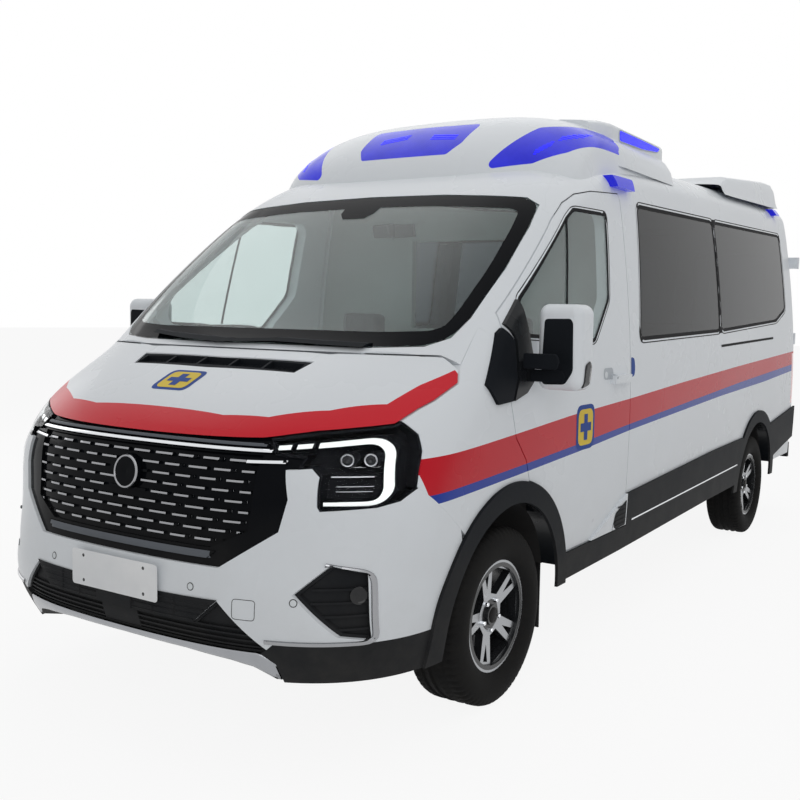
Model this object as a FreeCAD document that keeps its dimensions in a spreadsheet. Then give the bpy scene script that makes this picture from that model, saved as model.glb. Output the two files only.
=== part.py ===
import FreeCAD, Part
import math
import os
import re
import Sketcher

V = FreeCAD.Vector
X_AXIS = V(1, 0, 0)
Y_AXIS = V(0, 1, 0)
Z_AXIS = V(0, 0, 1)

# Driving dimensions in millimetres, angles in degrees. Front is -Y, left is +X, the ground is Z = 0.
SIZES = {
    # Whole vehicle
    "overall_length": 5980,
    "half_width": 1030,
    "roof_height": 2530,
    "wheelbase": 3750,
    "front_overhang": 1045,
    "track_width": 1740,
    # Body shell
    "wall_thickness": 66,
    "panel_thickness": 25,
    "glass_inset": 3,
    "glass_thickness": 6,
    "trim_stand": 14,
    "bezel_inset": 12,
    "pocket_depth": 24,
    "pocket_margin": 10,
    "rib_inset": 14,
    "rib_bury": 2,
    "nose_reach": 1800,
    "shut_gap": 5,
    "seat_gap": 0.3,
    "cut_overrun": 60,
    "waist_height": 1100,
    "skin_start": 40,
    "door_inner_step": 22,
    "rebate_reach": 12,
    "rebate_depth": 20,
    "cladding_bury": 5,
    "fan_height": 330,
    "body_end_gap": 50,
    "end_roll": 60,
    "window_corner": 60,
    "pod_half_width": 885,
    "pod_pivot_set_back": 2500,
    "pod_base_height": 2080,
    "pod_height": 490,
    "pod_skin": 25,
    "rear_door_depth": 60,
    "rear_sill_height": 560,
    "lamp_corner": 24,
    "lens_thickness": 3,
    "lamp_depth": 45,
    "lamp_room_depth": 34,
    "lamp_rim": 8,
    "lamp_guide_inset": 9,
    "projector_radius": 25,
    "projector_out": 846,
    "projector_spacing": 58,
    "projector_level": 1052,
    "lamp_bar_length": 110,
    "lamp_bar_height": 6,
    "lamp_bar_out": 842,
    "lamp_bar_level": 1000,
    "dash_length": 78,
    "dash_height": 9,
    "dash_pitch": 108,
    "dash_row_pitch": 33.5,
    "dash_base_level": 762,
    "strip_inset": 5,
    "badge_radius": 62,
    "badge_level": 958,
    "badge_inset": 3,
    "intake_rib_height": 6,
    "intake_rib_pitch": 19,
    "intake_rib_level": 424,
    "intake_block_half_width": 92,
    "fog_rib_height": 8,
    "fog_rib_pitch": 44,
    "fog_rib_level": 492,
    "fog_rib_length": 150,
    "fog_rib_out": 828,
    "trim_strip_stand": 6,
    "vent_inset": 4,
    "vent_cell_width": 158,
    "vent_cell_depth": 54,
    "vent_cell_pitch": 170,
    "vent_set_back": 470,
    "wiper_height": 16,
    "relief_reach": 90,
    "relief_level": 1468,
    "kingpin_radius": 18,
    "kingpin_rise": 30,
    "handle_length": 200,
    "handle_height": 38,
    "handle_stand": 34,
    "handle_set_back": 2110,
    "handle_level": 1225,
    "mirror_inner": 1068,
    "mirror_width": 185,
    "mirror_depth": 150,
    "mirror_height": 330,
    "mirror_level": 1250,
    "mirror_set_back": 1110,
    "mirror_corner": 40,
    "mirror_arm_bury": 20,
    "mirror_arm_depth": 80,
    "mirror_arm_height": 80,
    "mirror_arm_level": 1280,
    "tail_lamp_base": 880,
    "tail_lamp_height": 400,
    "tail_lamp_depth": 120,
    "tail_lamp_width": 110,
    "rear_bumper_height": 118,
    "rear_bumper_base": 425,
    "rear_bumper_depth": 45,
    "rear_bumper_half_width": 985,
    "rear_hinge_out": 985,
    "rear_hinge_stand": 15,
    "hinge_pin_radius": 14,
    "hinge_knuckle_height": 45,
    "hinge_neck_length": 100,
    "hinge_neck_depth": 40,
    "hinge_strap_length": 185,
    "hinge_strap_thickness": 12,
    "hinge_foot_length": 40,
    "low_hinge_level": 740,
    "middle_hinge_level": 1350,
    "high_hinge_level": 1960,
    "mud_flap_thickness": 8,
    "mud_flap_width": 210,
    "mud_flap_base": 160,
    "cowl_width": 1200,
    "cowl_depth": 120,
    "cowl_height": 90,
    "cowl_level": 1300,
    "cowl_set_back": 700,
    # Wheels
    "tyre_radius": 353,
    "tyre_width": 235,
    "tyre_shoulder": 22,
    "rim_flange_radius": 222,
    "rim_seat_radius": 203,
    "rim_barrel_wall": 9,
    "rim_width": 184,
    "rim_lip": 9,
    "rim_face_depth": 34,
    "rim_face_dish": 16,
    "rim_face_set_back": 14,
    "spoke_ring_radius": 186,
    "window_inner_radius": 78,
    "hub_pad_radius": 84,
    "hub_pad_depth": 60,
    "bearing_gap": 0.08,
    "hub_cap_radius": 41,
    "hub_cap_depth": 14,
    "arch_radius": 455,
    "arch_trim_width": 85,
    # Axles and steering
    "kingpin_inset": 105,
    "knuckle_height": 210,
    "knuckle_depth": 90,
    "knuckle_width": 56,
    "stub_length": 60,
    "stub_radius": 32,
    "axle_tube_radius": 48,
    "differential_radius": 150,
    "spring_leaf_width": 76,
    "spring_leaf_height": 34,
    "spring_length": 1300,
    "spring_centre_offset": 560,
    "subframe_half_width": 470,
    "subframe_length": 420,
    "subframe_depth": 90,
    "subframe_base_height": 230,
    "arm_depth": 50,
    "arm_length": 160,
    # Underbody
    "rail_height": 146,
    "rail_width": 80,
    "rail_offset": 400,
    "rail_base_height": 430,
    "floor_height": 610,
    "floor_thickness": 34,
    "floor_inset": 62,
    "wheelhouse_wall": 20,
    "engine_length": 640,
    "engine_width": 560,
    "engine_height": 560,
    "engine_set_back": 270,
    "floor_front_set_back": 1250,
    "firewall_half_width": 520,
    "wheelhouse_inner_front": 520,
    "wheelhouse_inner_rear": 640,
    "rail_set_back": 260,
    "rail_length": 5600,
    "brake_disc_radius": 150,
    "brake_disc_depth": 24,
    "tank_length": 900,
    "tank_width": 330,
    "tank_height": 190,
    "tank_set_back": 2700,
    "silencer_set_back": 2500,
    "exhaust_pipe_length": 2300,
    "front_post_width": 40,
    "slam_panel_height": 50,
    "slam_panel_level": 1120,
    "jack_pad_offset": 860,
    "front_jack_set_back": 1750,
    "rear_jack_set_back": 4150,
    "dash_half_width": 850,
    "seat_corner": 30,
    "headrest_bury": 20,
    "bulkhead_window_width": 600,
    "bulkhead_window_height": 480,
    "bulkhead_window_level": 1450,
    "bench_set_back": 2500,
    "bench_reach": 895,
    "column_length": 200,
    "side_lamp_stand": 42,
    "silencer_radius": 110,
    "silencer_length": 620,
    "exhaust_pipe_radius": 28,
    # Cab inside
    "bulkhead_set_back": 2300,
    "bulkhead_thickness": 40,
    "seat_base_width": 500,
    "seat_base_depth": 480,
    "seat_base_height": 150,
    "seat_offset": 450,
    "seat_height": 880,
    "seat_set_back": 1560,
    "seat_back_height": 640,
    "seat_back_depth": 130,
    "headrest_width": 250,
    "headrest_height": 180,
    "headrest_depth": 90,
    "seat_foot_width": 380,
    "steering_wheel_radius": 195,
    "steering_rim_radius": 15,
    "steering_hub_radius": 62,
    "steering_hub_depth": 40,
    "steering_set_back": 1330,
    "steering_height": 1270,
    "steering_tilt": 62,
    "column_radius": 32,
    "bench_width": 480,
    "bench_length": 1700,
    "bench_height": 420,
    "cabinet_length": 1100,
    "cabinet_width": 330,
    "cabinet_height": 780,
    # Mounts
    "jack_pad_side": 60,
    "jack_pad_height": 40,
}

doc = FreeCAD.newDocument("ambulance")
sheet = doc.addObject("Spreadsheet::Sheet", "Sizes")
for row, (alias, value) in enumerate(SIZES.items(), start=1):
    sheet.set(f"A{row}", alias)
    sheet.set(f"B{row}", str(value))
    sheet.setAlias(f"B{row}", alias)
doc.recompute()

nodes = {}


def size(alias):
    """A driving dimension, read back from the sheet."""
    return float(sheet.get(alias))


def bound(text):
    """The expression with each dimension named as a cell of the sheet."""
    return re.sub(r"[a-z_]+", lambda word: "Sizes." + word.group() if word.group() in SIZES else word.group(), text)


def bind(item, **expressions):
    for prop, text in expressions.items():
        item.setExpression(prop.replace("__", "."), bound(text))
    return item


def put(item, x="0", y="0", z="0"):
    """Place an object by three expressions."""
    return bind(item, Placement__Base__x=x, Placement__Base__y=y, Placement__Base__z=z)


def station(distance):
    """The Y of a point that lies this far behind the front of the vehicle."""
    return f"({distance}) - overall_length / 2"


# Outlines are drawn in one of three views, with points as shares of the overall sizes.
VIEWS = {
    "side": (FreeCAD.Rotation(Y_AXIS, Z_AXIS, X_AXIS, "XYZ"), X_AXIS, "overall_length", "roof_height"),
    "front": (FreeCAD.Rotation(X_AXIS, Z_AXIS, -Y_AXIS, "XYZ"), Y_AXIS, "half_width", "roof_height"),
    "plan": (FreeCAD.Rotation(), Z_AXIS, "half_width", "overall_length"),
}


def sketch_polygon(name, points):
    """A closed sketch with each corner tied to a pair of expressions."""
    sketch = doc.addObject("Sketcher::SketchObject", name)
    count = len(points)
    spots = [V(number(a), number(b), 0) for a, b in points]
    for i in range(count):
        sketch.addGeometry(Part.LineSegment(spots[i], spots[(i + 1) % count]), False)
    for i in range(count):
        sketch.addConstraint(Sketcher.Constraint("Coincident", i, 2, (i + 1) % count, 1))
    for i, (a, b) in enumerate(points):
        for kind, text, value in (("DistanceX", a, spots[i].x), ("DistanceY", b, spots[i].y)):
            index = sketch.addConstraint(Sketcher.Constraint(kind, -1, 1, i, 1, value))
            sketch.setExpression(f"Constraints[{index}]", bound(text))
    return sketch


def number(text):
    """The value of a sum of named sizes and shares."""
    plain = re.sub(r"[a-z_]+", lambda word: str(size(word.group())), text)
    return FreeCAD.Units.Quantity(plain).Value


def both_sides(half):
    """A half outline and its mirror image, as one closed outline."""
    return half + [(-x, z) for x, z in reversed(half) if x > 0]


def slab(name, view, shares, start, depth, grow=None, radius=None):
    """An outline given in shares, grown or shrunk, with rounded corners, extruded across the view."""
    rotation, direction, wide, high = VIEWS[view]
    points = [(f"{a} * {wide}", f"{b} * {high}") for a, b in shares]
    base = sketch_polygon(name + "_sketch", points)
    base.Placement = FreeCAD.Placement(V(), rotation)
    if view == "side":
        put(base, start, station("0"), "0")
    elif view == "front":
        put(base, "0", station(start), "0")
    else:
        put(base, "0", station("0"), start)
    steps = []
    if radius:
        steps = [f"{grow or '0'} - {radius}", radius]
    elif grow:
        steps = [grow]
    for step in steps:
        offset = doc.addObject("Part::Offset2D", name + "_offset")
        offset.Source = base
        offset.Join = 0 if radius else 2
        bind(offset, Value=step)
        base = offset
    solid = doc.addObject("Part::Extrusion", name)
    solid.Base = base
    solid.DirMode = "Custom"
    solid.Dir = direction
    solid.Solid = True
    return bind(solid, LengthFwd=depth)


def box(name, length, width, height, x, y, z):
    item = bind(doc.addObject("Part::Box", name), Length=length, Width=width, Height=height)
    return put(item, x, y, z)


def mid_box(name, length, width, height, x, y, z):
    """A box centred on x and y that stands on z."""
    return box(name, length, width, height, f"({x}) - ({length}) / 2", f"({y}) - ({width}) / 2", z)


def cylinder(name, radius, height, x, y, z, axis=Z_AXIS):
    item = bind(doc.addObject("Part::Cylinder", name), Radius=radius, Height=height)
    item.Placement = FreeCAD.Placement(V(), FreeCAD.Rotation(Z_AXIS, axis))
    return put(item, x, y, z)


def cut(name, base, *tools):
    for index, tool in enumerate(tools):
        item = doc.addObject("Part::Cut", name if index == len(tools) - 1 else name + "_cut")
        item.Base = base
        item.Tool = tool
        base = item
    return base


def common(name, *shapes):
    item = doc.addObject("Part::MultiCommon", name)
    item.Shapes = list(shapes)
    return item


def fuse(name, *shapes):
    item = doc.addObject("Part::MultiFuse", name)
    item.Shapes = list(shapes)
    return item


def mirrored(name, source):
    item = doc.addObject("Part::Mirroring", name)
    item.Source = source
    item.Normal = X_AXIS
    return item


def node(label, *items):
    """Register one sub-part; pieces that don't touch share a compound."""
    item = items[0]
    if len(items) > 1:
        item = doc.addObject("Part::Compound", label)
        item.Links = list(items)
    item.Label = label
    nodes[label] = item
    return item


def pair(label, item):
    """A left piece and its mirror image in one node."""
    return node(label, item, mirrored(label + "_right_half", item))


# Body skin: cross-sections that turn like a fan about the front axle, then run straight back.
# Centre-line profile as shares of length and height.
PROFILE_SHARES = [
    (0.014, 0.1154), (0.0092, 0.1364), (0.002, 0.168), (-0.0015, 0.2075), (0, 0.2549),
    (0.004, 0.3024), (0.007, 0.3557), (0.0087, 0.3953), (0.0127, 0.4269), (0.0268, 0.4617),
    (0.0488, 0.4921), (0.0753, 0.5217), (0.1003, 0.5478), (0.1204, 0.5719), (0.1438, 0.6174),
    (0.1747, 0.6787), (0.2057, 0.7399), (0.2375, 0.8), (0.2625, 0.8399), (0.2926, 0.8783),
    (0.3428, 0.9209), (0.4013, 0.9494), (0.4849, 0.9621), (0.602, 0.9731), (0.7525, 0.9858),
    (0.8863, 0.9953), (0.9749, 1),
]
# Corner depth as a share of the half width, and corner power, at shares of the fan's quarter turn.
FAN_CORNER_SHARES = [
    (0.0, 0.54, 3.2),
    (0.22, 0.60, 2.9),
    (0.39, 0.60, 2.9),
    (0.50, 0.48, 3.2),
    (0.58, 0.37, 3.8),
    (0.72, 0.30, 4.6),
    (0.87, 0.25, 5.5),
    (1.0, 0.24, 6.0),
]
# The same along the straight body, at shares of the overall length.
BODY_CORNER_SHARES = [(0.175, 0.24, 6.0), (0.25, 0.22, 6.2), (0.32, 0.22, 5.0), (0.4, 0.22, 4.0), (1.0, 0.22, 4.0)]
TUMBLEHOME_SHARE = 0.184
TUMBLEHOME_POWER = 1.735
TUCK_UNDER_SHARE = 0.096
TUCK_UNDER_POWER = 2.48
# Roof pod, in the same manner.
POD_PROFILE_SHARES = [
    (0.2789, 0.8379), (0.2783, 0.8538), (0.2809, 0.8735), (0.2863, 0.8992), (0.2968, 0.9269),
    (0.3127, 0.9565), (0.3328, 0.985), (0.3595, 1.0059), (0.4013, 1.015), (0.4515, 1.0142),
    (0.4849, 1.004), (0.5, 0.9763), (0.5033, 0.9407),
]
POD_FAN_SHARES = [(0.0, 0.26, 3.0), (0.5, 0.235, 3.2), (1.0, 0.2, 3.4)]
POD_LEAN_SHARE = 0.08
ROLL_STEPS = 3
WALL_STEPS = 3
CORNER_STEPS = 7


def between(table, place):
    """Depth and power from a table, in line between its rows."""
    for low, high in zip(table, table[1:]):
        if place <= high[0]:
            part = max(0, (place - low[0]) / (high[0] - low[0]))
            return [a + part * (b - a) for a, b in zip(low[1:], high[1:])]
    return table[-1][1:]


def side_half_width(height):
    """Half width of the side wall at a height: widest at the waist, drawn in above and below."""
    waist = size("waist_height")
    if height > waist:
        rise = (height - waist) / (size("roof_height") - waist)
        return size("half_width") * (1 - TUMBLEHOME_SHARE * rise ** TUMBLEHOME_POWER)
    return size("half_width") * (1 - TUCK_UNDER_SHARE * ((waist - height) / waist) ** TUCK_UNDER_POWER)


def pod_half_width(height):
    """Half width of the roof pod, which leans in a little towards its top."""
    rise = (height - size("pod_base_height")) / size("pod_height")
    return size("pod_half_width") * (1 - POD_LEAN_SHARE * rise)


# A form is a profile with its section rules: the pivot of its fan, its side wall and its corners.
BODY = {
    "profile": PROFILE_SHARES,
    "fan": FAN_CORNER_SHARES,
    "straight": BODY_CORNER_SHARES,
    "pivot": ("front_overhang", "fan_height"),
    "half_width": side_half_width,
    "end_gap": "body_end_gap",
}
POD = {
    "profile": POD_PROFILE_SHARES,
    "fan": POD_FAN_SHARES,
    "straight": POD_FAN_SHARES[-1:],
    "pivot": ("pod_pivot_set_back", "pod_base_height"),
    "half_width": pod_half_width,
    "end_gap": None,
}


def cross_section(form, distance, height, inset):
    """Poles of one cross-section from the left edge over the top to the right edge."""
    axle, low = (size(alias) for alias in form["pivot"])
    if distance < axle:
        radius = math.hypot(height - low, axle - distance)
        back, up = (distance - axle) / radius, (height - low) / radius
        origin = axle
        turn = math.atan2(height - low, axle - distance) / (math.pi / 2)
        corner_share, power = between(form["fan"], turn)
    else:
        radius = height - low
        back, up = 0.0, 1.0
        origin = distance
        corner_share, power = between(form["straight"], distance / size("overall_length"))
    corner = corner_share * size("half_width") - inset
    radius -= inset
    poles = []
    start = size("skin_start")
    for step in range(WALL_STEPS):
        reach = start + (radius - corner - start) * step / WALL_STEPS
        level = low + up * reach
        poles.append(V(form["half_width"](level) - inset, origin + back * reach, level))
    for step in range(CORNER_STEPS + 1):
        angle = math.pi / 2 * step / CORNER_STEPS
        reach = radius - corner + corner * math.sin(angle)
        level = low + up * reach
        narrow = max(math.cos(angle), 0) ** (2 / power)
        poles.append(V((form["half_width"](level) - inset) * narrow, origin + back * reach, level))
    poles[-1].x = 0
    front = -size("overall_length") / 2
    left = [V(pole.x, pole.y + front, pole.z) for pole in poles]
    return left + [V(-pole.x, pole.y, pole.z) for pole in reversed(left[:-1])]


def stations(form, rolled):
    """Profile points, each with the inset that rolls the rear edge inwards."""
    length, height = size("overall_length"), size("roof_height")
    rows = [(a * length, b * height, 0.0) for a, b in form["profile"]]
    if form["end_gap"]:
        end = length - size(form["end_gap"])
        roll = size("end_roll")
        top = rows[-1][1]
        for step in range(ROLL_STEPS + 1):
            swing = math.pi / 2 * step / ROLL_STEPS
            inset = roll * (1 - math.cos(swing)) if rolled else 0.0
            rows.append((end - roll * (1 - math.sin(swing)), top, inset))
    return rows


def spline_surface(rows):
    """A smooth surface that follows a net of poles."""
    def knots(count):
        spans = count - 3
        return [float(i) for i in range(spans + 1)], [4] + [1] * (spans - 1) + [4]
    values_u, times_u = knots(len(rows))
    values_v, times_v = knots(len(rows[0]))
    surface = Part.BSplineSurface()
    surface.buildFromPolesMultsKnots(rows, times_u, times_v, values_u, values_v, False, False, 3, 3)
    return surface


def form_surface(form, inset, rolled=False):
    return spline_surface([cross_section(form, d, z, inset + more) for d, z, more in stations(form, rolled)])


def edges_of(surface):
    first_u, last_u, first_v, last_v = surface.bounds()
    return [surface.uIso(first_u), surface.uIso(last_u), surface.vIso(first_v), surface.vIso(last_v)]


def closed_solid(faces):
    shell = Part.makeShell(faces)
    shell.sewShape()
    solid = Part.Solid(shell)
    if solid.Volume < 0:
        solid.reverse()
    return solid


def feature(name, shape):
    item = doc.addObject("Part::Feature", name)
    item.Shape = shape
    return item


def layer(name, form, outer, inner, rolled=False):
    """The solid between two depths below a form's outer surface."""
    surfaces = [form_surface(form, outer, rolled), form_surface(form, inner)]
    faces = [surface.toShape() for surface in surfaces]
    for one, other in zip(edges_of(surfaces[0]), edges_of(surfaces[1])):
        faces.append(Part.makeRuledSurface(one.toShape(), other.toShape()))
    return feature(name, closed_solid(faces))


def block(name, form, inset, rolled=False):
    """All that lies below a form's outer surface, as one filled solid."""
    surface = form_surface(form, inset, rolled)
    front, rear, left, right = [curve.toShape() for curve in edges_of(surface)]
    faces = [surface.toShape(), Part.makeRuledSurface(left, right)]
    for edge in (front, rear):
        ends = [edge.valueAt(edge.FirstParameter), edge.valueAt(edge.LastParameter)]
        faces.append(Part.Face(Part.Wire([edge, Part.makeLine(ends[1], ends[0])])))
    return feature(name, closed_solid(faces))


SPAN = "2 * half_width + 2 * cut_overrun"
SPAN_START = "-half_width - cut_overrun"
HALF_GAP = "shut_gap / 2"
HALF_SEAM = "seat_gap / 2"
NOSE = ("-cut_overrun", "nose_reach")

wall = layer("wall_layer", BODY, 0, size("wall_thickness"), rolled=True)
panel = layer("panel_layer", BODY, 0, size("panel_thickness"))
glass = layer("glass_layer", BODY, size("glass_inset"), size("glass_inset") + size("glass_thickness"))
trim = layer("trim_layer", BODY, -size("trim_stand"), -size("seat_gap"))
bezel = layer("bezel_layer", BODY, size("bezel_inset"), size("bezel_inset") + size("panel_thickness"))
pocket = layer("pocket_layer", BODY, 0, size("pocket_depth"))
rib = layer("rib_layer", BODY, size("rib_inset"), size("pocket_depth") + size("rib_bury"))
inner_door = layer("inner_door_layer", BODY, size("panel_thickness"), size("wall_thickness"))
rebate = layer("rebate_layer", BODY, size("panel_thickness") + size("seat_gap"),
               size("panel_thickness") + size("rebate_depth"))
body_block = block("body_block", BODY, 0, rolled=True)
under_panel = block("under_panel_block", BODY, size("panel_thickness") + size("seat_gap"))
under_wall = block("under_wall_block", BODY, size("wall_thickness") + size("seat_gap"))
rear_space = block("rear_space_block", BODY, size("wall_thickness"))
rear_plug = block("rear_plug_block", BODY, size("wall_thickness") + size("shut_gap"))

# Outlines in the side view, as shares of length and height.
DOOR_SHARES = [
    (0.1662, 0.6091), (0.1639, 0.5885), (0.1729, 0.5704), (0.1747, 0.5107), (0.1682, 0.4767),
    (0.1761, 0.4198), (0.1911, 0.3822), (0.1973, 0.3458), (0.2174, 0.2767), (0.2341, 0.2008),
    (0.3788, 0.2008), (0.3788, 0.83), (0.3763, 0.8431), (0.3227, 0.8332), (0.2957, 0.8209),
    (0.2742, 0.8004), (0.2518, 0.7672),
]
DOOR_WINDOW_SHARES = [
    (0.1844, 0.6296), (0.1839, 0.5731), (0.3065, 0.5605), (0.338, 0.6383), (0.3457, 0.7992),
    (0.2843, 0.7945), (0.2692, 0.7747),
]
LEFT_FRONT_PANE_SHARES = [
    (0.402, 0.5613), (0.6391, 0.5763), (0.6391, 0.8498), (0.4166, 0.834),
]
LEFT_REAR_PANE_SHARES = [
    (0.6425, 0.5763), (0.8863, 0.604), (0.9388, 0.6403), (0.9388, 0.8715), (0.6425, 0.8498),
]
SLIDING_DOOR_SHARES = [
    (0.3921, 0.2008), (0.6087, 0.2008), (0.6087, 0.8636), (0.4013, 0.8498), (0.3921, 0.83),
]
SLIDING_WINDOW_SHARES = [
    (0.408, 0.5613), (0.592, 0.5731), (0.592, 0.8241), (0.4166, 0.8142),
]
POD_STRIP_SHARES = [
    (0.3863, 0.9486), (0.3863, 0.9668), (0.4666, 0.966), (0.4749, 0.9506),
]
DOOR_SAIL_SHARES = [
    (0.1647, 0.5929), (0.1839, 0.6324), (0.1923, 0.581), (0.2015, 0.5099), (0.1873, 0.487),
    (0.1692, 0.4767), (0.1756, 0.5107), (0.1739, 0.5704),
]
FENDER_SAIL_SHARES = [
    (0.1358, 0.5055), (0.148, 0.4747), (0.1672, 0.4771), (0.1734, 0.5107), (0.1716, 0.5692),
    (0.1625, 0.5885), (0.1572, 0.5802),
]
CLADDING_SHARES = [
    (0.2508, 0.2004), (0.305, 0.2004), (0.3786, 0.2636), (0.6176, 0.285), (0.7358, 0.2905),
    (0.7358, 0.1692), (0.6119, 0.166), (0.3674, 0.1549), (0.2475, 0.1526),
]
REAR_CLADDING_SHARES = [
    (0.8612, 0.304), (0.99, 0.336), (0.99, 0.2372), (0.9365, 0.2198), (0.8612, 0.1913),
]
DASH_SHARES = [
    (0.1338, 0.4664), (0.1338, 0.5138), (0.1906, 0.5237), (0.2157, 0.502), (0.2224, 0.4664),
    (0.209, 0.3992), (0.1873, 0.3676), (0.1739, 0.3676), (0.1706, 0.4664),
]
FIREWALL_SHARES = [
    (0.2157, 0.2277), (0.2157, 0.2411), (0.1731, 0.3241), (0.1689, 0.4663), (0.163, 0.4663),
    (0.1672, 0.3182), (0.209, 0.2277),
]
REAR_POD_SHARES = [
    (0.7107, 0.9644), (0.7391, 0.9913), (0.9114, 1.03), (0.9398, 1.0316), (0.9532, 1.0119),
    (0.9532, 0.9605),
]
SIDE_LAMP_TABLES = [
    [
    (0.3629, 0.853), (0.3629, 0.8755), (0.3988, 0.8755), (0.3988, 0.853),
],
    [
    (0.9164, 0.9269), (0.9164, 0.9466), (0.9348, 0.9486), (0.9348, 0.9289),
],
]
RIGHT_REAR_PANE_SHARES = [
    (0.6288, 0.5755), (0.8863, 0.604), (0.9388, 0.6403), (0.9388, 0.8715), (0.6288, 0.849),
]
SIDE_SHARES = [
    (0.2528, 0.7822), (0.2676, 0.8142), (0.2926, 0.8498), (0.3428, 0.8893), (0.3945, 0.9087),
    (0.9532, 0.9605), (1.0117, 0.966), (1.0117, 0.1858), (0.2174, 0.1858), (0.2174, 0.3478),
    (0.2843, 0.3953), (0.2843, 0.751), (0.2585, 0.7684),
]
ROOF_SHARES = [
    (0.2174, 0.8735), (0.2528, 0.7822), (0.2676, 0.8142), (0.2926, 0.8498), (0.3428, 0.8893),
    (0.3945, 0.9087), (0.9532, 0.9605), (1.0117, 0.966), (1.0117, 1.1067), (0.2174, 1.1067),
]
PILLAR_SHARES = [
    (0.0987, 0.547), (0.1241, 0.547), (0.1281, 0.5344), (0.1513, 0.5877), (0.1572, 0.5628),
    (0.2007, 0.5929), (0.2843, 0.751), (0.2585, 0.7684), (0.2528, 0.7822), (0.2174, 0.8735),
    (0.0936, 0.5929),
]
FENDER_SHARES = [
    (0.0808, 0.4447), (0.0766, 0.4621), (0.0809, 0.4672), (0.0893, 0.4763), (0.1003, 0.4862),
    (0.1201, 0.5083), (0.1273, 0.5316), (0.1513, 0.5877), (0.1572, 0.5628), (0.2007, 0.585),
    (0.2174, 0.3478), (0.2174, 0.1858), (0.1505, 0.1858), (0.1171, 0.2925), (0.1092, 0.3079),
    (0.0714, 0.3783), (0.0742, 0.4), (0.0791, 0.4241),
]
HOOD_SIDE_SHARES = [
    (-0.01, 0.434), (0.0182, 0.434), (0.0286, 0.4375), (0.0358, 0.4431), (0.0438, 0.4482),
    (0.0572, 0.453), (0.0727, 0.4577), (0.0809, 0.4672), (0.0893, 0.4763), (0.1003, 0.4862),
    (0.1201, 0.5083), (0.1273, 0.5316), (0.1241, 0.547), (0.0987, 0.547), (0.0936, 0.5929),
    (-0.01, 0.5929),
]
BUMPER_SIDE_SHARES = [
    (-0.01, 0.0791), (0.1003, 0.0791), (0.1204, 0.2213), (0.1092, 0.3079), (0.0714, 0.3783),
    (0.0742, 0.4), (0.0791, 0.4241), (0.0808, 0.4447), (0.0766, 0.4621), (0.0727, 0.4577),
    (0.0572, 0.453), (0.0438, 0.4482), (0.0358, 0.4431), (0.0286, 0.4375), (0.0182, 0.434),
    (-0.01, 0.434),
]
HOOD_PLAN_HALF_SHARES = [
    (0, 0.0997), (0.4612, 0.1003), (0.7883, 0.1169), (0.8544, 0.1241), (1.0874, 0.1279),
    (1.0874, -0.0167),
]
VENT_PLAN_HALF_SHARES = [
    (0, 0.0737), (0.4117, 0.0761), (0.4369, 0.0903), (0, 0.0881),
]
# Outlines in the front view, as shares of half width and height.
WINDSHIELD_HALF_SHARES = [
    (0, 0.5542), (0.5825, 0.5542), (0.7767, 0.5581), (0.8427, 0.5711), (0.867, 0.6008),
    (0.8786, 0.6779), (0.8621, 0.751), (0.8379, 0.7925), (0.7767, 0.8063), (0.3883, 0.8166),
    (0, 0.8194),
]
GRILLE_HALF_SHARES = [
    (0, 0.27), (0.4417, 0.27), (0.6311, 0.3221), (0.6544, 0.3644), (0.6369, 0.4016), (0.668, 0.4024),
    (0.6777, 0.4158), (0.5883, 0.419), (0.5359, 0.4466), (0, 0.4466),
]
FIELD_HALF_SHARES = [
    (0, 0.2933), (0.3932, 0.2933), (0.5243, 0.3194), (0.5398, 0.4055), (0.5456, 0.4174), (0, 0.4174),
]
GRILLE_LIP_HALF_SHARES = [
    (0, 0.2798), (0.3922, 0.2798), (0.4194, 0.2901), (0, 0.2901),
]
LOW_STRIP_HALF_SHARES = [
    (0, 0.4213), (0.5825, 0.4213), (0.567, 0.4257), (0, 0.4257),
]
HIGH_STRIP_HALF_SHARES = [
    (0, 0.4281), (0.5573, 0.4281), (0.5456, 0.4324), (0, 0.4324),
]
LONG_DASH_SHARES = [
    (0.501, 0.4071), (0.6311, 0.4087), (0.6233, 0.413), (0.4971, 0.4115),
]
LAMP_SHARES = [
    (0.5359, 0.4466), (0.5883, 0.419), (0.6777, 0.4158), (0.668, 0.4024), (0.7087, 0.404),
    (0.735, 0.3937), (0.7379, 0.3557), (0.7456, 0.3502), (0.8883, 0.3553), (0.934, 0.3621),
    (0.9592, 0.3763), (0.9854, 0.3953), (0.9854, 0.4743), (0.7767, 0.4743),
]
LAMP_GUIDE_SHARES = [
    (0.7049, 0.43), (0.701, 0.4379), (0.8544, 0.4451), (0.8951, 0.4316), (0.9204, 0.3755),
    (0.899, 0.3581), (0.7534, 0.3569), (0.7534, 0.3632), (0.8864, 0.3644), (0.9029, 0.3763),
    (0.8796, 0.4269), (0.8466, 0.4372),
]
LAMP_MARK_TABLES = [
    [
    (0.5883, 0.4261), (0.5806, 0.432), (0.6194, 0.434), (0.6311, 0.4277),
],
    [
    (0.6447, 0.4281), (0.635, 0.4344), (0.6816, 0.4368), (0.6913, 0.4296),
],
]
FOG_SHARES = [
    (0.6874, 0.2427), (0.7806, 0.281), (0.8689, 0.27), (0.8825, 0.181), (0.8078, 0.1885),
]
INTAKE_HALF_SHARES = [
    (0, 0.1972), (0.3592, 0.1972), (0.4466, 0.2281), (0.6078, 0.168), (0.5825, 0.1613), (0, 0.1613),
]
CORNER_STRIP_SHARES = [
    (0.7728, 0.2814), (0.7825, 0.2854), (0.8699, 0.2751), (0.8883, 0.2704), (0.9, 0.1787),
    (0.8854, 0.1723), (0.6049, 0.1763), (0.6214, 0.1834), (0.8738, 0.1814), (0.8835, 0.185),
    (0.8738, 0.268), (0.8641, 0.2704),
]
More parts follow.
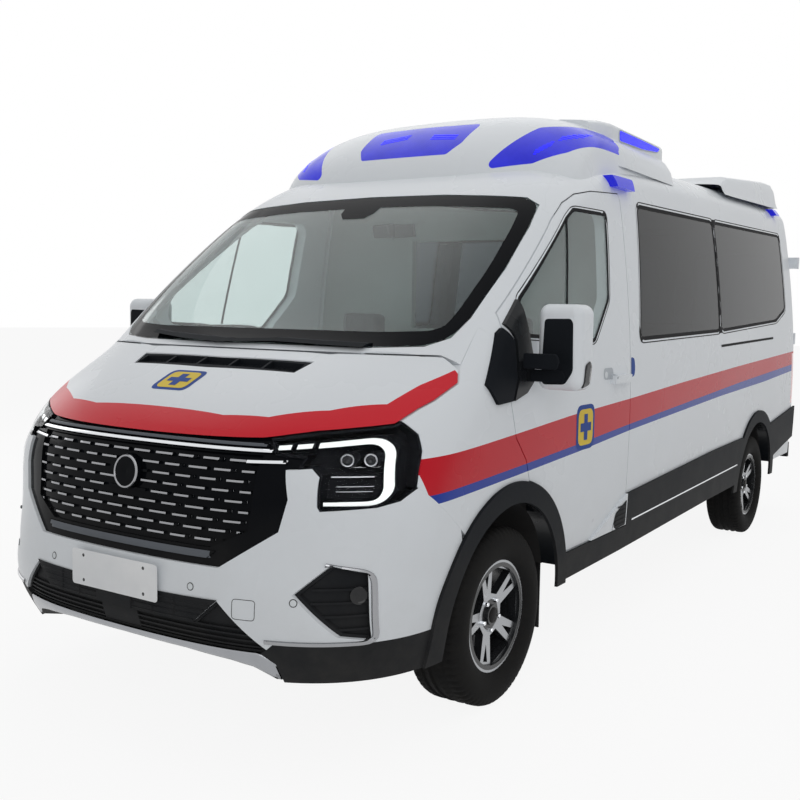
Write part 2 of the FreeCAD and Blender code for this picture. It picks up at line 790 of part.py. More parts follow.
LIP_HALF_SHARES = [
    (0, 0.1613), (0.5825, 0.1613), (0.6214, 0.1462), (0.6214, 0.0949), (0, 0.0949),
]
APRON_SHARES = [
    (0.5825, 0.1613), (0.6078, 0.168), (0.6311, 0.1763), (0.6796, 0.1779), (1.068, 0.1779),
    (1.068, 0.0949), (0.6214, 0.0949), (0.6214, 0.1462),
]
CORNER_LAMP_SHARES = [
    (0.4563, 0.8696), (0.6699, 0.8794), (0.7767, 0.904), (0.8466, 0.9447), (0.8505, 0.9644),
    (0.7184, 0.9692), (0.6019, 0.9597),
]
CENTRE_LAMP_HALF_SHARES = [
    (0, 0.9047), (0.2427, 0.9047), (0.2913, 0.9289), (0.3039, 0.9755), (0, 0.9779),
]
WIPER_TABLES = [
    [
    (-0.1252, 0.5553), (0.1612, 0.5593), (0.4524, 0.5569), (0.4524, 0.5617), (0.1612, 0.5644),
    (-0.1252, 0.5601),
],
    [
    (0.1456, 0.5597), (0.5728, 0.5553), (0.5825, 0.5613), (0.1553, 0.5652),
],
    [
    (-0.5437, 0.5652), (-0.3369, 0.5589), (-0.1117, 0.5553), (-0.1117, 0.5601), (-0.3369, 0.5636),
    (-0.5437, 0.5704),
],
    [
    (-0.4272, 0.5617), (-0.0777, 0.5553), (-0.0777, 0.5613), (-0.4175, 0.5668),
],
]
REAR_WINDOW_SHARES = [
    (0.1456, 0.5692), (0.7476, 0.5692), (0.7136, 0.8221), (0.1456, 0.8221),
]


def wheel_space(name, extra="0"):
    """Cylinders across the vehicle that open the four wheel arches."""
    parts = []
    for place, where in (("front", "front_overhang"), ("rear", "front_overhang + wheelbase")):
        parts.append(cylinder(f"{name}_{place}", f"arch_radius + {extra}", SPAN, SPAN_START,
                              station(where), "tyre_radius", X_AXIS))
    return parts


front_arch, rear_arch = wheel_space("arch")
# How many of each repeated piece
DASH_ROWS = 9
DASHES_PER_ROW = 10
FOG_RIBS = 4
INTAKE_RIBS = 4
VENT_CELLS = 5
LEFT = ("0", "half_width + cut_overrun")


def rounded(name, base, radius):
    """All long edges of a solid rounded to one radius."""
    doc.recompute()
    item = doc.addObject("Part::Fillet", name)
    item.Base = base
    item.Edges = [(i + 1, size(radius), size(radius)) for i in range(len(base.Shape.Edges))]
    return item


def make_rebate_ring():
    """The step behind the edge of the front door's outer skin, all round the door opening."""
    outside = slab("rebate_outside", "side", DOOR_SHARES, *LEFT, "rebate_reach")
    inside = slab("rebate_inside", "side", DOOR_SHARES, *LEFT, "-rebate_reach")
    arch = cylinder("rebate_arch", "arch_radius + arch_trim_width", SPAN, SPAN_START, station("front_overhang"),
                    "tyre_radius", X_AXIS)
    relief = box("rebate_relief", SPAN, "front_overhang + relief_reach", "roof_height", SPAN_START, station("0"),
                 "relief_level")
    return cut("rebate_ring", common("rebate_skin", rebate, outside), inside, arch, relief)


rebate_ring = make_rebate_ring()


def make_windshield_and_pillars():
    opening = slab("windshield_opening", "front", both_sides(WINDSHIELD_HALF_SHARES), *NOSE)
    pane = slab("windshield_pane", "front", both_sides(WINDSHIELD_HALF_SHARES), *NOSE, "-seat_gap")
    node("windshield", common("windshield_glass", glass, pane))
    region = slab("pillar_region", "side", PILLAR_SHARES, SPAN_START, SPAN, f"-{HALF_SEAM}")
    hood_gap = slab("hood_clearance", "plan", both_sides(HOOD_PLAN_HALF_SHARES), "0", "roof_height", HALF_GAP)
    pillars = common("pillar_shell", wall, region)
    door = slab("door_cut_full", "side", DOOR_SHARES, SPAN_START, SPAN, HALF_GAP)
    shell = cut("pillars", pillars, opening, door, hood_gap)
    cowl = mid_box("cowl", "cowl_width", "cowl_depth", "cowl_height", "0", station("cowl_set_back"), "cowl_level")
    beyond = slab("rebate_beyond", "side", SIDE_SHARES, *LEFT, HALF_SEAM)
    post = cut("front_rebate", rebate_ring, beyond)
    node("cab_frame", fuse("cab_shell", shell, cowl, post, mirrored("front_rebate_right", post)))
    wiper_skin = layer("wiper_layer", BODY, -size("wiper_height"), size("glass_inset") - size("seat_gap"))
    strips = [slab(f"wiper_region_{index}", "front", shares, *NOSE) for index, shares in enumerate(WIPER_TABLES)]
    node("wipers", *[common(f"wiper_{index}", wiper_skin, fuse(f"wiper_outline_{index}", *strips[index:index + 2]))
                     for index in (0, 2)])
    return opening, door


def make_doors():
    """Front doors: an outer skin, a smaller inner panel, the window opening, its pane and the mirror."""
    outline = slab("door_outline", "side", DOOR_SHARES, *LEFT, f"-{HALF_GAP}")
    inside = slab("door_inside", "side", DOOR_SHARES, *LEFT, "-door_inner_step")
    window = slab("door_window", "side", DOOR_WINDOW_SHARES, *LEFT, None, "window_corner")
    pane = slab("door_pane", "side", DOOR_WINDOW_SHARES, *LEFT, "-seat_gap", "window_corner")
    skins = fuse("door_skins", common("door_skin", panel, outline), common("door_inner", inner_door, inside))
    round_arch = cylinder("door_arch_cut", "arch_radius + arch_trim_width + shut_gap", SPAN, SPAN_START,
                          station("front_overhang"), "tyre_radius", X_AXIS)
    shell = cut("door_shell", skins, window, round_arch)
    glass_pane = common("door_glass", glass, pane)
    handle = mid_box("door_handle", "handle_stand", "handle_length", "handle_height",
                     "half_width - handle_stand / 8", station("handle_set_back"), "handle_level")
    covers = layer("door_cladding_layer", BODY, -size("trim_stand"), size("cladding_bury"))
    sill = slab("door_cladding_region", "side", CLADDING_SHARES, *LEFT)
    cladding = common("door_cladding", covers, outline, sill)
    shell = fuse("door_with_handle", shell, handle, cladding)
    node("door_left", shell)
    node("door_glass_left", glass_pane)
    node("door_right", mirrored("door_right_shell", shell))
    node("door_glass_right", mirrored("door_right_glass", glass_pane))
    sail = common("door_sail", trim, slab("door_sail_region", "side", DOOR_SAIL_SHARES, *LEFT, f"-{HALF_GAP}"))
    arm = box("mirror_arm", "mirror_inner - half_width + mirror_arm_bury", "mirror_arm_depth", "mirror_arm_height",
              "half_width + seat_gap", station("mirror_set_back"), "mirror_arm_level")
    head = box("mirror_head", "mirror_width", "mirror_depth", "mirror_height", "mirror_inner",
               station("mirror_set_back"), "mirror_level")
    rounded_head = rounded("mirror_shell", head, "mirror_corner")
    mirror = fuse("mirror_fused", sail, arm, rounded_head)
    node("mirror_left", mirror)
    node("mirror_right", mirrored("mirror_right_fused", mirror))


def make_sides(door_cut):
    """Body sides with the side windows, the right one also with the sliding door."""
    region = slab("side_region", "side", SIDE_SHARES, *LEFT, f"-{HALF_SEAM}")
    ring = cylinder("door_ring", "arch_radius + arch_trim_width", SPAN, SPAN_START, station("front_overhang"),
                    "tyre_radius", X_AXIS)
    door_hole = cut("door_hole", door_cut, ring)
    blank = cut("side_blank", common("side_skin", wall, region), door_hole, front_arch, rear_arch)
    rebate_part = common("rear_rebate", rebate_ring, region)
    panes = []
    openings = []
    for name, shares in (("left_front", LEFT_FRONT_PANE_SHARES), ("left_rear", LEFT_REAR_PANE_SHARES),
                         ("sliding", SLIDING_WINDOW_SHARES), ("right_rear", RIGHT_REAR_PANE_SHARES)):
        openings.append(slab(name + "_opening", "side", shares, *LEFT, None, "window_corner"))
        cutter = slab(name + "_pane", "side", shares, *LEFT, "-seat_gap", "window_corner")
        panes.append(common(name + "_glass", glass, cutter))
    lamp_shape = ("half_width", "tail_lamp_depth + cut_overrun", "tail_lamp_height",
                  "half_width - tail_lamp_width", station("overall_length - body_end_gap - tail_lamp_depth"),
                  "tail_lamp_base")
    lamp_cut = box("tail_lamp_cut", *lamp_shape)
    lamp_fill = box("tail_lamp_fill", "half_width", "tail_lamp_depth + cut_overrun",
                    "tail_lamp_height - 2 * seat_gap", "half_width - tail_lamp_width + seat_gap",
                    station("overall_length - body_end_gap - tail_lamp_depth + seat_gap"), "tail_lamp_base + seat_gap")
    pair("tail_lamps", common("tail_lamp_body", wall, lamp_fill))
    blank = fuse("side_with_hinges", cut("lamp_blank", blank, lamp_cut), rebate_part, *body_hinges())
    node("body_side_left", cut("left_side", blank, openings[0], openings[1]))
    slide_cut = slab("sliding_cut", "side", SLIDING_DOOR_SHARES, *LEFT, HALF_GAP)
    slide = slab("sliding_outline", "side", SLIDING_DOOR_SHARES, *LEFT, f"-{HALF_GAP}")
    right = cut("right_side", blank, slide_cut, openings[3])
    node("body_side_right", mirrored("right_side_mirrored", right))
    door = cut("sliding_shell", common("sliding_skin", wall, slide), openings[2])
    node("sliding_door", mirrored("sliding_mirrored", door))
    node("side_glass", panes[0], panes[1], mirrored("sliding_pane_right", panes[2]),
         mirrored("rear_pane_right", panes[3]))


HINGE_LINE = "overall_length - body_end_gap + rear_hinge_stand"
HINGE_LEVELS = ["low_hinge_level", "middle_hinge_level", "high_hinge_level"]


def body_hinges():
    """Lower knuckles of the rear door hinges, on necks that grow out of the body's rear corner."""
    pieces = []
    for level in HINGE_LEVELS:
        neck = box(f"neck_{level}", "hinge_neck_length", "hinge_neck_depth", "hinge_knuckle_height",
                   "rear_hinge_out - hinge_neck_length", station("overall_length - body_end_gap - hinge_neck_depth"),
                   level)
        pieces.append(cut(f"trimmed_{level}", neck, rear_space))
        pieces.append(box(f"link_{level}", "2 * hinge_pin_radius", "2 * rear_hinge_stand", "hinge_knuckle_height",
                          "rear_hinge_out - hinge_pin_radius", station(f"{HINGE_LINE} - 2 * rear_hinge_stand"), level))
        pieces.append(cylinder(f"knuckle_{level}", "hinge_pin_radius", "hinge_knuckle_height", "rear_hinge_out",
                               station(HINGE_LINE), level))
    return pieces


def door_hinges():
    """Upper knuckles of the same hinges, on straps that lie on the rear door."""
    pieces = []
    for level in HINGE_LEVELS:
        upper = f"{level} + hinge_knuckle_height + seat_gap"
        face = station("overall_length - body_end_gap + seat_gap")
        start = "rear_hinge_out - hinge_strap_length"
        pieces.append(box(f"strap_{level}", "hinge_strap_length", "hinge_strap_thickness", "hinge_knuckle_height",
                          start, face, upper))
        pieces.append(box(f"foot_{level}", "hinge_foot_length", "2 * hinge_strap_thickness", "hinge_knuckle_height",
                          start, f"{face} - hinge_strap_thickness", upper))
        pieces.append(cylinder(f"door_knuckle_{level}", "hinge_pin_radius", "hinge_knuckle_height", "rear_hinge_out",
                               station(HINGE_LINE), upper))
    return pieces


def make_roof(windshield_cut):
    region = slab("roof_region", "side", ROOF_SHARES, SPAN_START, SPAN, f"-{HALF_SEAM}")
    node("roof_panel", cut("roof", common("roof_skin", wall, region), windshield_cut))


def nose_slab(name, shares, grow=None):
    """A front-view outline run back through the nose."""
    return slab(name, "front", shares, *NOSE, grow)


def nose_bar(name, length, height, x, level):
    """A level bar across the front view, centred on x."""
    return box(name, length, "nose_reach", height, f"({x}) - ({length}) / 2", station("-cut_overrun"), level)


def make_hood_and_fenders(door_cut):
    """Hood with its air vent, and the two front fenders."""
    hood_side = slab("hood_side", "side", HOOD_SIDE_SHARES, SPAN_START, SPAN, "-shut_gap")
    hood_plan = slab("hood_plan", "plan", both_sides(HOOD_PLAN_HALF_SHARES), "0", "roof_height", f"-{HALF_GAP}")
    vent_cut = slab("vent_opening", "plan", both_sides(VENT_PLAN_HALF_SHARES), "0", "roof_height")
    node("hood", cut("hood_body", common("hood_skin", panel, hood_side, hood_plan), vent_cut))
    vent_fill = slab("vent_fill", "plan", both_sides(VENT_PLAN_HALF_SHARES), "0", "roof_height", "-seat_gap")
    frame_skin = layer("vent_layer", BODY, size("vent_inset"), size("panel_thickness") + size("vent_inset"))
    cells = []
    for index in range(VENT_CELLS):
        cells.append(box(f"vent_cell_{index}", "vent_cell_width", "vent_cell_depth", "roof_height",
                         f"({index} - {(VENT_CELLS - 1) / 2}) * vent_cell_pitch - vent_cell_width / 2",
                         station("vent_set_back"), "0"))
    sunk = common("vent_sunk", pocket, fuse("vent_cells", *cells))
    node("hood_vent", cut("vent_body", common("vent_skin", frame_skin, vent_fill), sunk))
    fender_region = slab("fender_region", "side", FENDER_SHARES, *LEFT, f"-{HALF_SEAM}")
    ring = cylinder("fender_ring", "arch_radius + arch_trim_width", SPAN, SPAN_START, station("front_overhang"),
                    "tyre_radius", X_AXIS)
    door_hole = cut("fender_door_hole", door_cut, ring)
    fender = cut("fender", common("fender_skin", panel, fender_region), front_arch, door_hole)
    pair("front_fenders", fender)


def make_bumper():
    """Front bumper skin, opened for the grille, the lamps and the lower pieces."""
    grille_cut = nose_slab("grille_opening", both_sides(GRILLE_HALF_SHARES))
    lamp_cut = nose_slab("lamp_opening", LAMP_SHARES)
    fog_cut = nose_slab("fog_opening", FOG_SHARES)
    intake_cut = nose_slab("intake_opening", both_sides(INTAKE_HALF_SHARES))
    lip_cut = nose_slab("lip_opening", both_sides(LIP_HALF_SHARES))
    apron_cut = nose_slab("apron_opening", APRON_SHARES)
    region = slab("bumper_region", "side", BUMPER_SIDE_SHARES, SPAN_START, SPAN, f"-{HALF_SEAM}")
    sides = fuse("side_openings", lamp_cut, fog_cut, apron_cut)
    openings = fuse("bumper_openings", grille_cut, intake_cut, lip_cut, sides, mirrored("side_openings_right", sides))
    node("front_bumper", cut("bumper", common("bumper_skin", panel, region), front_arch, openings))
    return region


def grille_dashes():
    """Short bright bars in staggered rows over the field of the grille."""
    bars = []
    for row in range(DASH_ROWS):
        count = DASHES_PER_ROW + row % 2
        for place in range(count):
            bars.append(nose_bar(f"dash_{row}_{place}", "dash_length", "dash_height",
                                 f"({place} - {(count - 1) / 2}) * dash_pitch",
                                 f"dash_base_level + {row} * dash_row_pitch"))
    holder = doc.addObject("Part::Compound", "dash_bars")
    holder.Links = bars
    return common("dashes", holder, nose_slab("dash_field", both_sides(FIELD_HALF_SHARES), "-pocket_margin / 2"), rib)


def make_grille(bumper_region):
    """Grille plate with a sunk field of dashes, a bright strip over it, a lip under it and a plain round badge."""
    fill = nose_slab("grille_fill", both_sides(GRILLE_HALF_SHARES), "-seat_gap")
    plate = common("grille_skin", bezel, bumper_region, fill)
    sunk = common("grille_sunk", pocket, nose_slab("grille_field", both_sides(FIELD_HALF_SHARES)))
    strip_skin = layer("strip_layer", BODY, size("strip_inset"), size("rib_inset"))
    long_dash = nose_slab("long_dash", LONG_DASH_SHARES)
    bars = fuse("grille_bars", nose_slab("low_strip", both_sides(LOW_STRIP_HALF_SHARES)),
                nose_slab("high_strip", both_sides(HIGH_STRIP_HALF_SHARES)),
                nose_slab("grille_lip", both_sides(GRILLE_LIP_HALF_SHARES)),
                long_dash, mirrored("long_dash_right", long_dash))
    badge_skin = layer("badge_layer", BODY, size("badge_inset"), size("pocket_depth") + size("rib_bury"))
    badge = common("grille_badge", badge_skin, cylinder("badge_round", "badge_radius", "nose_reach", "0",
                                                        station("-cut_overrun"), "badge_level", Y_AXIS))
    node("grille", fuse("grille_body", cut("grille_plate", plate, sunk), grille_dashes(),
                        common("grille_strips", strip_skin, bumper_region, bars), badge))


def make_headlamps(bumper_region):
    """Hollow lamp housings with a light guide, marks and projectors inside, each behind a clear lens."""
    fill = nose_slab("lamp_fill", LAMP_SHARES, "-seat_gap")
    lens_skin = layer("lamp_lens_layer", BODY, 0, size("lens_thickness"))
    pair("headlamp_lenses", common("lamp_lens", lens_skin, bumper_region, fill))
    body_skin = layer("lamp_body_layer", BODY, size("lens_thickness") + size("seat_gap"), size("lamp_depth"))
    room_skin = layer("lamp_room_layer", BODY, 0, size("lamp_room_depth"))
    room_side = slab("lamp_room_side", "side", BUMPER_SIDE_SHARES, SPAN_START, SPAN, "-lamp_rim")
    room = common("lamp_room", room_skin, room_side, nose_slab("lamp_room_front", LAMP_SHARES, "-lamp_rim"))
    bowl = cut("lamp_bowl", common("lamp_body", body_skin, bumper_region, fill), room)
    detail_skin = layer("lamp_detail_layer", BODY, size("lamp_guide_inset"), size("lamp_room_depth") + size("rib_bury"))
    forms = [nose_slab("lamp_guide", LAMP_GUIDE_SHARES),
             nose_bar("lamp_bar", "lamp_bar_length", "lamp_bar_height", "lamp_bar_out", "lamp_bar_level")]
    for index, shares in enumerate(LAMP_MARK_TABLES):
        forms.append(nose_slab(f"lamp_mark_{index}", shares))
    for sign in ("-", "+"):
        forms.append(cylinder(f"projector_{sign}", "projector_radius", "nose_reach",
                              f"projector_out {sign} projector_spacing / 2", station("-cut_overrun"),
                              "projector_level", Y_AXIS))
    details = common("lamp_details", detail_skin, bumper_region, fill, fuse("lamp_forms", *forms))
    pair("headlamps", fuse("lamp_inside", bowl, details))


def make_bumper_insets(bumper_region):
    """Fog lamp bezels, lower grille, silver lip with its corner strips, and the black apron."""
    fog_fill = nose_slab("fog_fill", FOG_SHARES, "-seat_gap")
    fog_room = common("fog_room", pocket, nose_slab("fog_room_front", FOG_SHARES, "-pocket_margin"))
    fog_bars = [nose_bar(f"fog_rib_{index}", "fog_rib_length", "fog_rib_height", "fog_rib_out",
                         f"fog_rib_level + {index} * fog_rib_pitch") for index in range(FOG_RIBS)]
    fog_ribs = common("fog_ribs", rib, fog_fill, fuse("fog_bars", *fog_bars))
    pair("fog_bezels", fuse("fog_bezel", cut("fog_plate", common("fog_skin", bezel, fog_fill), fog_room), fog_ribs))
    intake_fill = nose_slab("intake_fill", both_sides(INTAKE_HALF_SHARES), "-seat_gap")
    intake_room = common("intake_room", pocket,
                         nose_slab("intake_room_front", both_sides(INTAKE_HALF_SHARES), "-pocket_margin"))
    intake_bars = [nose_bar(f"intake_rib_{index}", "2 * half_width", "intake_rib_height", "0",
                            f"intake_rib_level + {index} * intake_rib_pitch") for index in range(INTAKE_RIBS)]
    intake_bars.append(nose_bar("intake_block", "2 * intake_block_half_width", "roof_height", "0", "0"))
    intake_ribs = common("intake_ribs", rib, intake_fill, fuse("intake_bars", *intake_bars))
    plate = cut("intake_plate", common("intake_skin", bezel, intake_fill), intake_room)
    node("lower_grille", fuse("lower_grille_body", plate, intake_ribs))
    lip = common("lip_skin", panel, nose_slab("lip_fill", both_sides(LIP_HALF_SHARES), "-seat_gap"))
    raised = layer("corner_strip_layer", BODY, -size("trim_strip_stand"), -size("seat_gap"))
    strip = common("corner_strip", raised, nose_slab("corner_strip_front", CORNER_STRIP_SHARES))
    node("front_lip", lip, strip, mirrored("corner_strip_right", strip))
    apron_fill = nose_slab("apron_fill", APRON_SHARES, "-seat_gap")
    pair("front_apron", cut("apron", common("apron_skin", panel, bumper_region, apron_fill), front_arch))


def make_rear_doors():
    """Two barn doors that fill the rear opening, each with a window."""
    leaf = box("rear_leaf", "half_width", "rear_door_depth + cut_overrun", "roof_height", HALF_GAP,
               station("overall_length - body_end_gap - rear_door_depth"), "rear_sill_height")
    depth = (("overall_length - body_end_gap - rear_door_depth - cut_overrun"),
             "rear_door_depth + 2 * cut_overrun")
    opening = slab("rear_opening", "front", REAR_WINDOW_SHARES, *depth, None, "window_corner")
    shell = cut("rear_door_shell", common("rear_door_skin", rear_plug, leaf), opening)
    shell = fuse("rear_door_hung", shell, *door_hinges())
    pane_depth = (("overall_length - body_end_gap - glass_inset - glass_thickness"), "glass_thickness")
    pane = slab("rear_pane", "front", REAR_WINDOW_SHARES, *pane_depth, "-seat_gap", "window_corner")
    node("rear_door_left", shell)
    node("rear_glass_left", pane)
    node("rear_door_right", mirrored("rear_door_right_shell", shell))
    node("rear_glass_right", mirrored("rear_glass_right_pane", pane))


def make_roof_pod():
    """Pod over the cab with its three lamps and the side strips, and the low pod at the rear."""
    whole = cut("pod_whole", block("pod_block", POD, 0), body_block)
    skin = cut("pod_lamp_skin", layer("pod_layer", POD, 0, size("pod_skin")), body_block)
    front = (("front_overhang"), "0.28 * overall_length")
    corner = slab("corner_lamp_cut", "front", CORNER_LAMP_SHARES, *front, None, "lamp_corner")
    centre = slab("centre_lamp_cut", "front", both_sides(CENTRE_LAMP_HALF_SHARES), *front, None, "lamp_corner")
    strip = slab("strip_cut", "side", POD_STRIP_SHARES, *LEFT)
    openings = [corner, mirrored("corner_right_cut", corner), centre, strip, mirrored("strip_right_cut", strip)]
    shell = whole
    for index, tool in enumerate(openings):
        shell = cut(f"pod_opening_{index}", shell, common(f"lamp_space_{index}", skin, tool))
    node("roof_pod", shell)
    fit = "-seat_gap"
    corner_fill = slab("corner_lamp_fill", "front", CORNER_LAMP_SHARES, *front, fit, "lamp_corner")
    centre_fill = slab("centre_lamp_fill", "front", both_sides(CENTRE_LAMP_HALF_SHARES), *front, fit, "lamp_corner")
    strip_fill = slab("strip_fill", "side", POD_STRIP_SHARES, *LEFT, fit)
    lens = cut("lens_skin", layer("lens_layer", POD, 0, size("pod_skin") - size("seat_gap")), body_block)
    corner_lamp = common("corner_lamp", lens, corner_fill)
    strip_lamp = common("strip_lamp", lens, strip_fill)
    node("blue_lamps", corner_lamp, mirrored("corner_lamp_right", corner_lamp),
         common("centre_lamp", lens, centre_fill), strip_lamp, mirrored("strip_lamp_right", strip_lamp))
    rear = slab("rear_pod_blank", "side", REAR_POD_SHARES, "-pod_half_width * 0.93", "2 * pod_half_width * 0.93")
    node("rear_pod", cut("rear_pod_body", rear, body_block))


def make_trims(door_cut):
    """Arch trims, sill cladding, mirror sails on the fenders, rear bumper and mud flaps."""
    rings = []
    for place, where in (("front", "front_overhang"), ("rear", "front_overhang + wheelbase")):
        ring = cylinder(f"{place}_ring", "arch_radius + arch_trim_width", LEFT[1], "0", station(where),
                        "tyre_radius", X_AXIS)
        rings.append(ring)
    grown = []
    for place, where in (("front", "front_overhang"), ("rear", "front_overhang + wheelbase")):
        grown.append(cylinder(f"{place}_ring_clear", "arch_radius + arch_trim_width + seat_gap", SPAN, SPAN_START,
                              station(where), "tyre_radius", X_AXIS))
    arches = [cut(f"{ring.Name}_trim", common(f"{ring.Name}_skin", trim, ring), arch)
              for ring, arch in zip(rings, (front_arch, rear_arch))]
    node("arch_trims", *arches, *[mirrored(f"{arch.Name}_right", arch) for arch in arches])
    sill = slab("cladding_region", "side", CLADDING_SHARES, *LEFT)
    tail = slab("rear_cladding_region", "side", REAR_CLADDING_SHARES, *LEFT)
    claddings = [cut("cladding", common("cladding_skin", trim, sill), door_cut, *grown),
                 cut("rear_cladding", common("rear_cladding_skin", trim, tail), *grown)]
    node("lower_cladding", *claddings, *[mirrored(f"{item.Name}_right", item) for item in claddings])
    sail = slab("fender_sail_region", "side", FENDER_SAIL_SHARES, *LEFT, f"-{HALF_GAP}")
    pair("fender_sails", common("fender_sail", trim, sail))
    bar = mid_box("rear_bumper_bar", "2 * rear_bumper_half_width", "rear_bumper_depth", "rear_bumper_height", "0",
                  station("overall_length - rear_bumper_depth / 2"), "rear_bumper_base")
    rail_end = "rail_set_back + rail_length + seat_gap"
    bracket = box("rear_bumper_bracket", "2 * rail_offset + rail_width",
                  f"overall_length - rear_bumper_depth / 2 - ({rail_end})", "rear_bumper_height / 2",
                  "-rail_offset - rail_width / 2", station(rail_end), "rear_bumper_base")
    node("rear_bumper", fuse("rear_bumper_body", bar, bracket))


def make_wheel(place, side, x, where):
    """One wheel in its own frame, outer face towards +X, turned round for the right side."""
    turned = side == "right"

    def ring(name, outline):
        """A profile of (along, out) expressions turned about the axle."""
        sketch = sketch_polygon(f"{name}_{place}_{side}_sketch", outline)
        sketch.Placement = FreeCAD.Placement(V(), FreeCAD.Rotation(X_AXIS, Z_AXIS, -Y_AXIS, "XYZ"))
        item = doc.addObject("Part::Revolution", f"{name}_{place}_{side}")
        item.Source = sketch
        item.Axis = X_AXIS
        item.Base = V()
        item.Angle = 360
        item.Solid = True
        return item

    def locate(label, item):
        item.Placement = FreeCAD.Placement(V(), FreeCAD.Rotation(Z_AXIS, 180 if turned else 0))
        put(item, x, station(where), "tyre_radius")
        return node(label, item)

    half = "tyre_width / 2"
    rim_half = "rim_width / 2"
    tyre = ring("tyre", [
        (f"-{rim_half} + rim_lip + seat_gap", "rim_seat_radius + seat_gap"),
        (f"-{rim_half} + rim_lip + seat_gap", "rim_flange_radius + seat_gap"),
        (f"-{half}", "rim_flange_radius + tyre_shoulder"),
        (f"-{half}", "tyre_radius - 2 * tyre_shoulder"),
        (f"-{half} + 0.4 * tyre_shoulder", "tyre_radius - 0.7 * tyre_shoulder"),
        (f"-{half} + 1.4 * tyre_shoulder", "tyre_radius"),
        (f"{half} - 1.4 * tyre_shoulder", "tyre_radius"),
        (f"{half} - 0.4 * tyre_shoulder", "tyre_radius - 0.7 * tyre_shoulder"),
        (f"{half}", "tyre_radius - 2 * tyre_shoulder"),
        (f"{half}", "rim_flange_radius + tyre_shoulder"),
        (f"{rim_half} - rim_lip - seat_gap", "rim_flange_radius + seat_gap"),
        (f"{rim_half} - rim_lip - seat_gap", "rim_seat_radius + seat_gap"),
    ])
    locate(f"tyre_{place}_{side}", tyre)
    barrel = ring("barrel", [
        (f"-{rim_half}", "rim_flange_radius"),
        (f"-{rim_half}", "rim_seat_radius - rim_barrel_wall"),
        (f"{rim_half}", "rim_seat_radius - rim_barrel_wall"),
        (f"{rim_half}", "rim_flange_radius"),
        (f"{rim_half} - 0.9 * rim_lip", "rim_flange_radius"),
        (f"{rim_half} - rim_lip", "rim_seat_radius"),
        (f"-{rim_half} + rim_lip", "rim_seat_radius"),
        (f"-{rim_half} + 0.9 * rim_lip", "rim_flange_radius"),
    ])
    face = f"{rim_half} - rim_face_set_back"
    disc = ring("face", [
        (face, "spoke_ring_radius + rim_barrel_wall"),
        (f"{face} - rim_face_dish", "hub_pad_radius"),
        (f"{face} - rim_face_dish", "hub_cap_radius"),
        (f"{face} - rim_face_dish + hub_cap_depth", "hub_cap_radius"),
        (f"{face} - rim_face_dish + hub_cap_depth", "0"),
        (f"{face} - rim_face_dish - 0.4 * hub_pad_depth", "0"),
        (f"{face} - rim_face_dish - 0.4 * hub_pad_depth", "stub_radius + bearing_gap"),
        (f"{face} - rim_face_dish - hub_pad_depth", "stub_radius + bearing_gap"),
        (f"{face} - rim_face_dish - hub_pad_depth", "hub_pad_radius"),
        (f"{face} - rim_face_dish - rim_face_depth", "hub_pad_radius + rim_barrel_wall"),
        (f"{face} - rim_face_depth", "spoke_ring_radius + rim_barrel_wall"),
    ])
    openings = []
    for index in range(5):
        for kind, table in (("wide", WIDE_WINDOW_SHARES), ("narrow", NARROW_WINDOW_SHARES)):
            points = [(f"{a} * spoke_ring_radius", f"{b} * spoke_ring_radius") for a, b in
                      turned_points(table, index * 72 + (0 if kind == "wide" else 36))]
            sketch = sketch_polygon(f"{kind}_{index}_{place}_{side}", points)
            sketch.Placement = FreeCAD.Placement(V(), FreeCAD.Rotation(Y_AXIS, Z_AXIS, X_AXIS, "XYZ"))
            hole = doc.addObject("Part::Extrusion", f"{kind}_hole_{index}_{place}_{side}")
            hole.Base = sketch
            hole.DirMode = "Custom"
            hole.Dir = X_AXIS
            hole.Solid = True
            openings.append(bind(hole, LengthFwd="rim_width"))
    face_open = doc.addObject("Part::Cut", f"spokes_{place}_{side}")
    face_open.Base = disc
    face_open.Tool = fuse(f"windows_{place}_{side}", *openings)
    rim = fuse(f"rim_{place}_{side}_body", barrel, face_open)
    locate(f"rim_{place}_{side}", rim)


# Openings between the spokes, as shares of the spoke circle, pointing along +Y; turned for each spoke.
WIDE_WINDOW_SHARES = [(0.44, 0.13), (0.97, 0.42), (1.0, 0.2), (1.0, -0.2), (0.97, -0.42), (0.44, -0.13)]
NARROW_WINDOW_SHARES = [(0.62, 0), (0.98, 0.09), (0.98, -0.09)]


def turned_points(table, degrees):
    swing = math.radians(degrees)
    return [(round(a * math.cos(swing) - b * math.sin(swing), 4), round(a * math.sin(swing) + b * math.cos(swing), 4))
            for a, b in table]


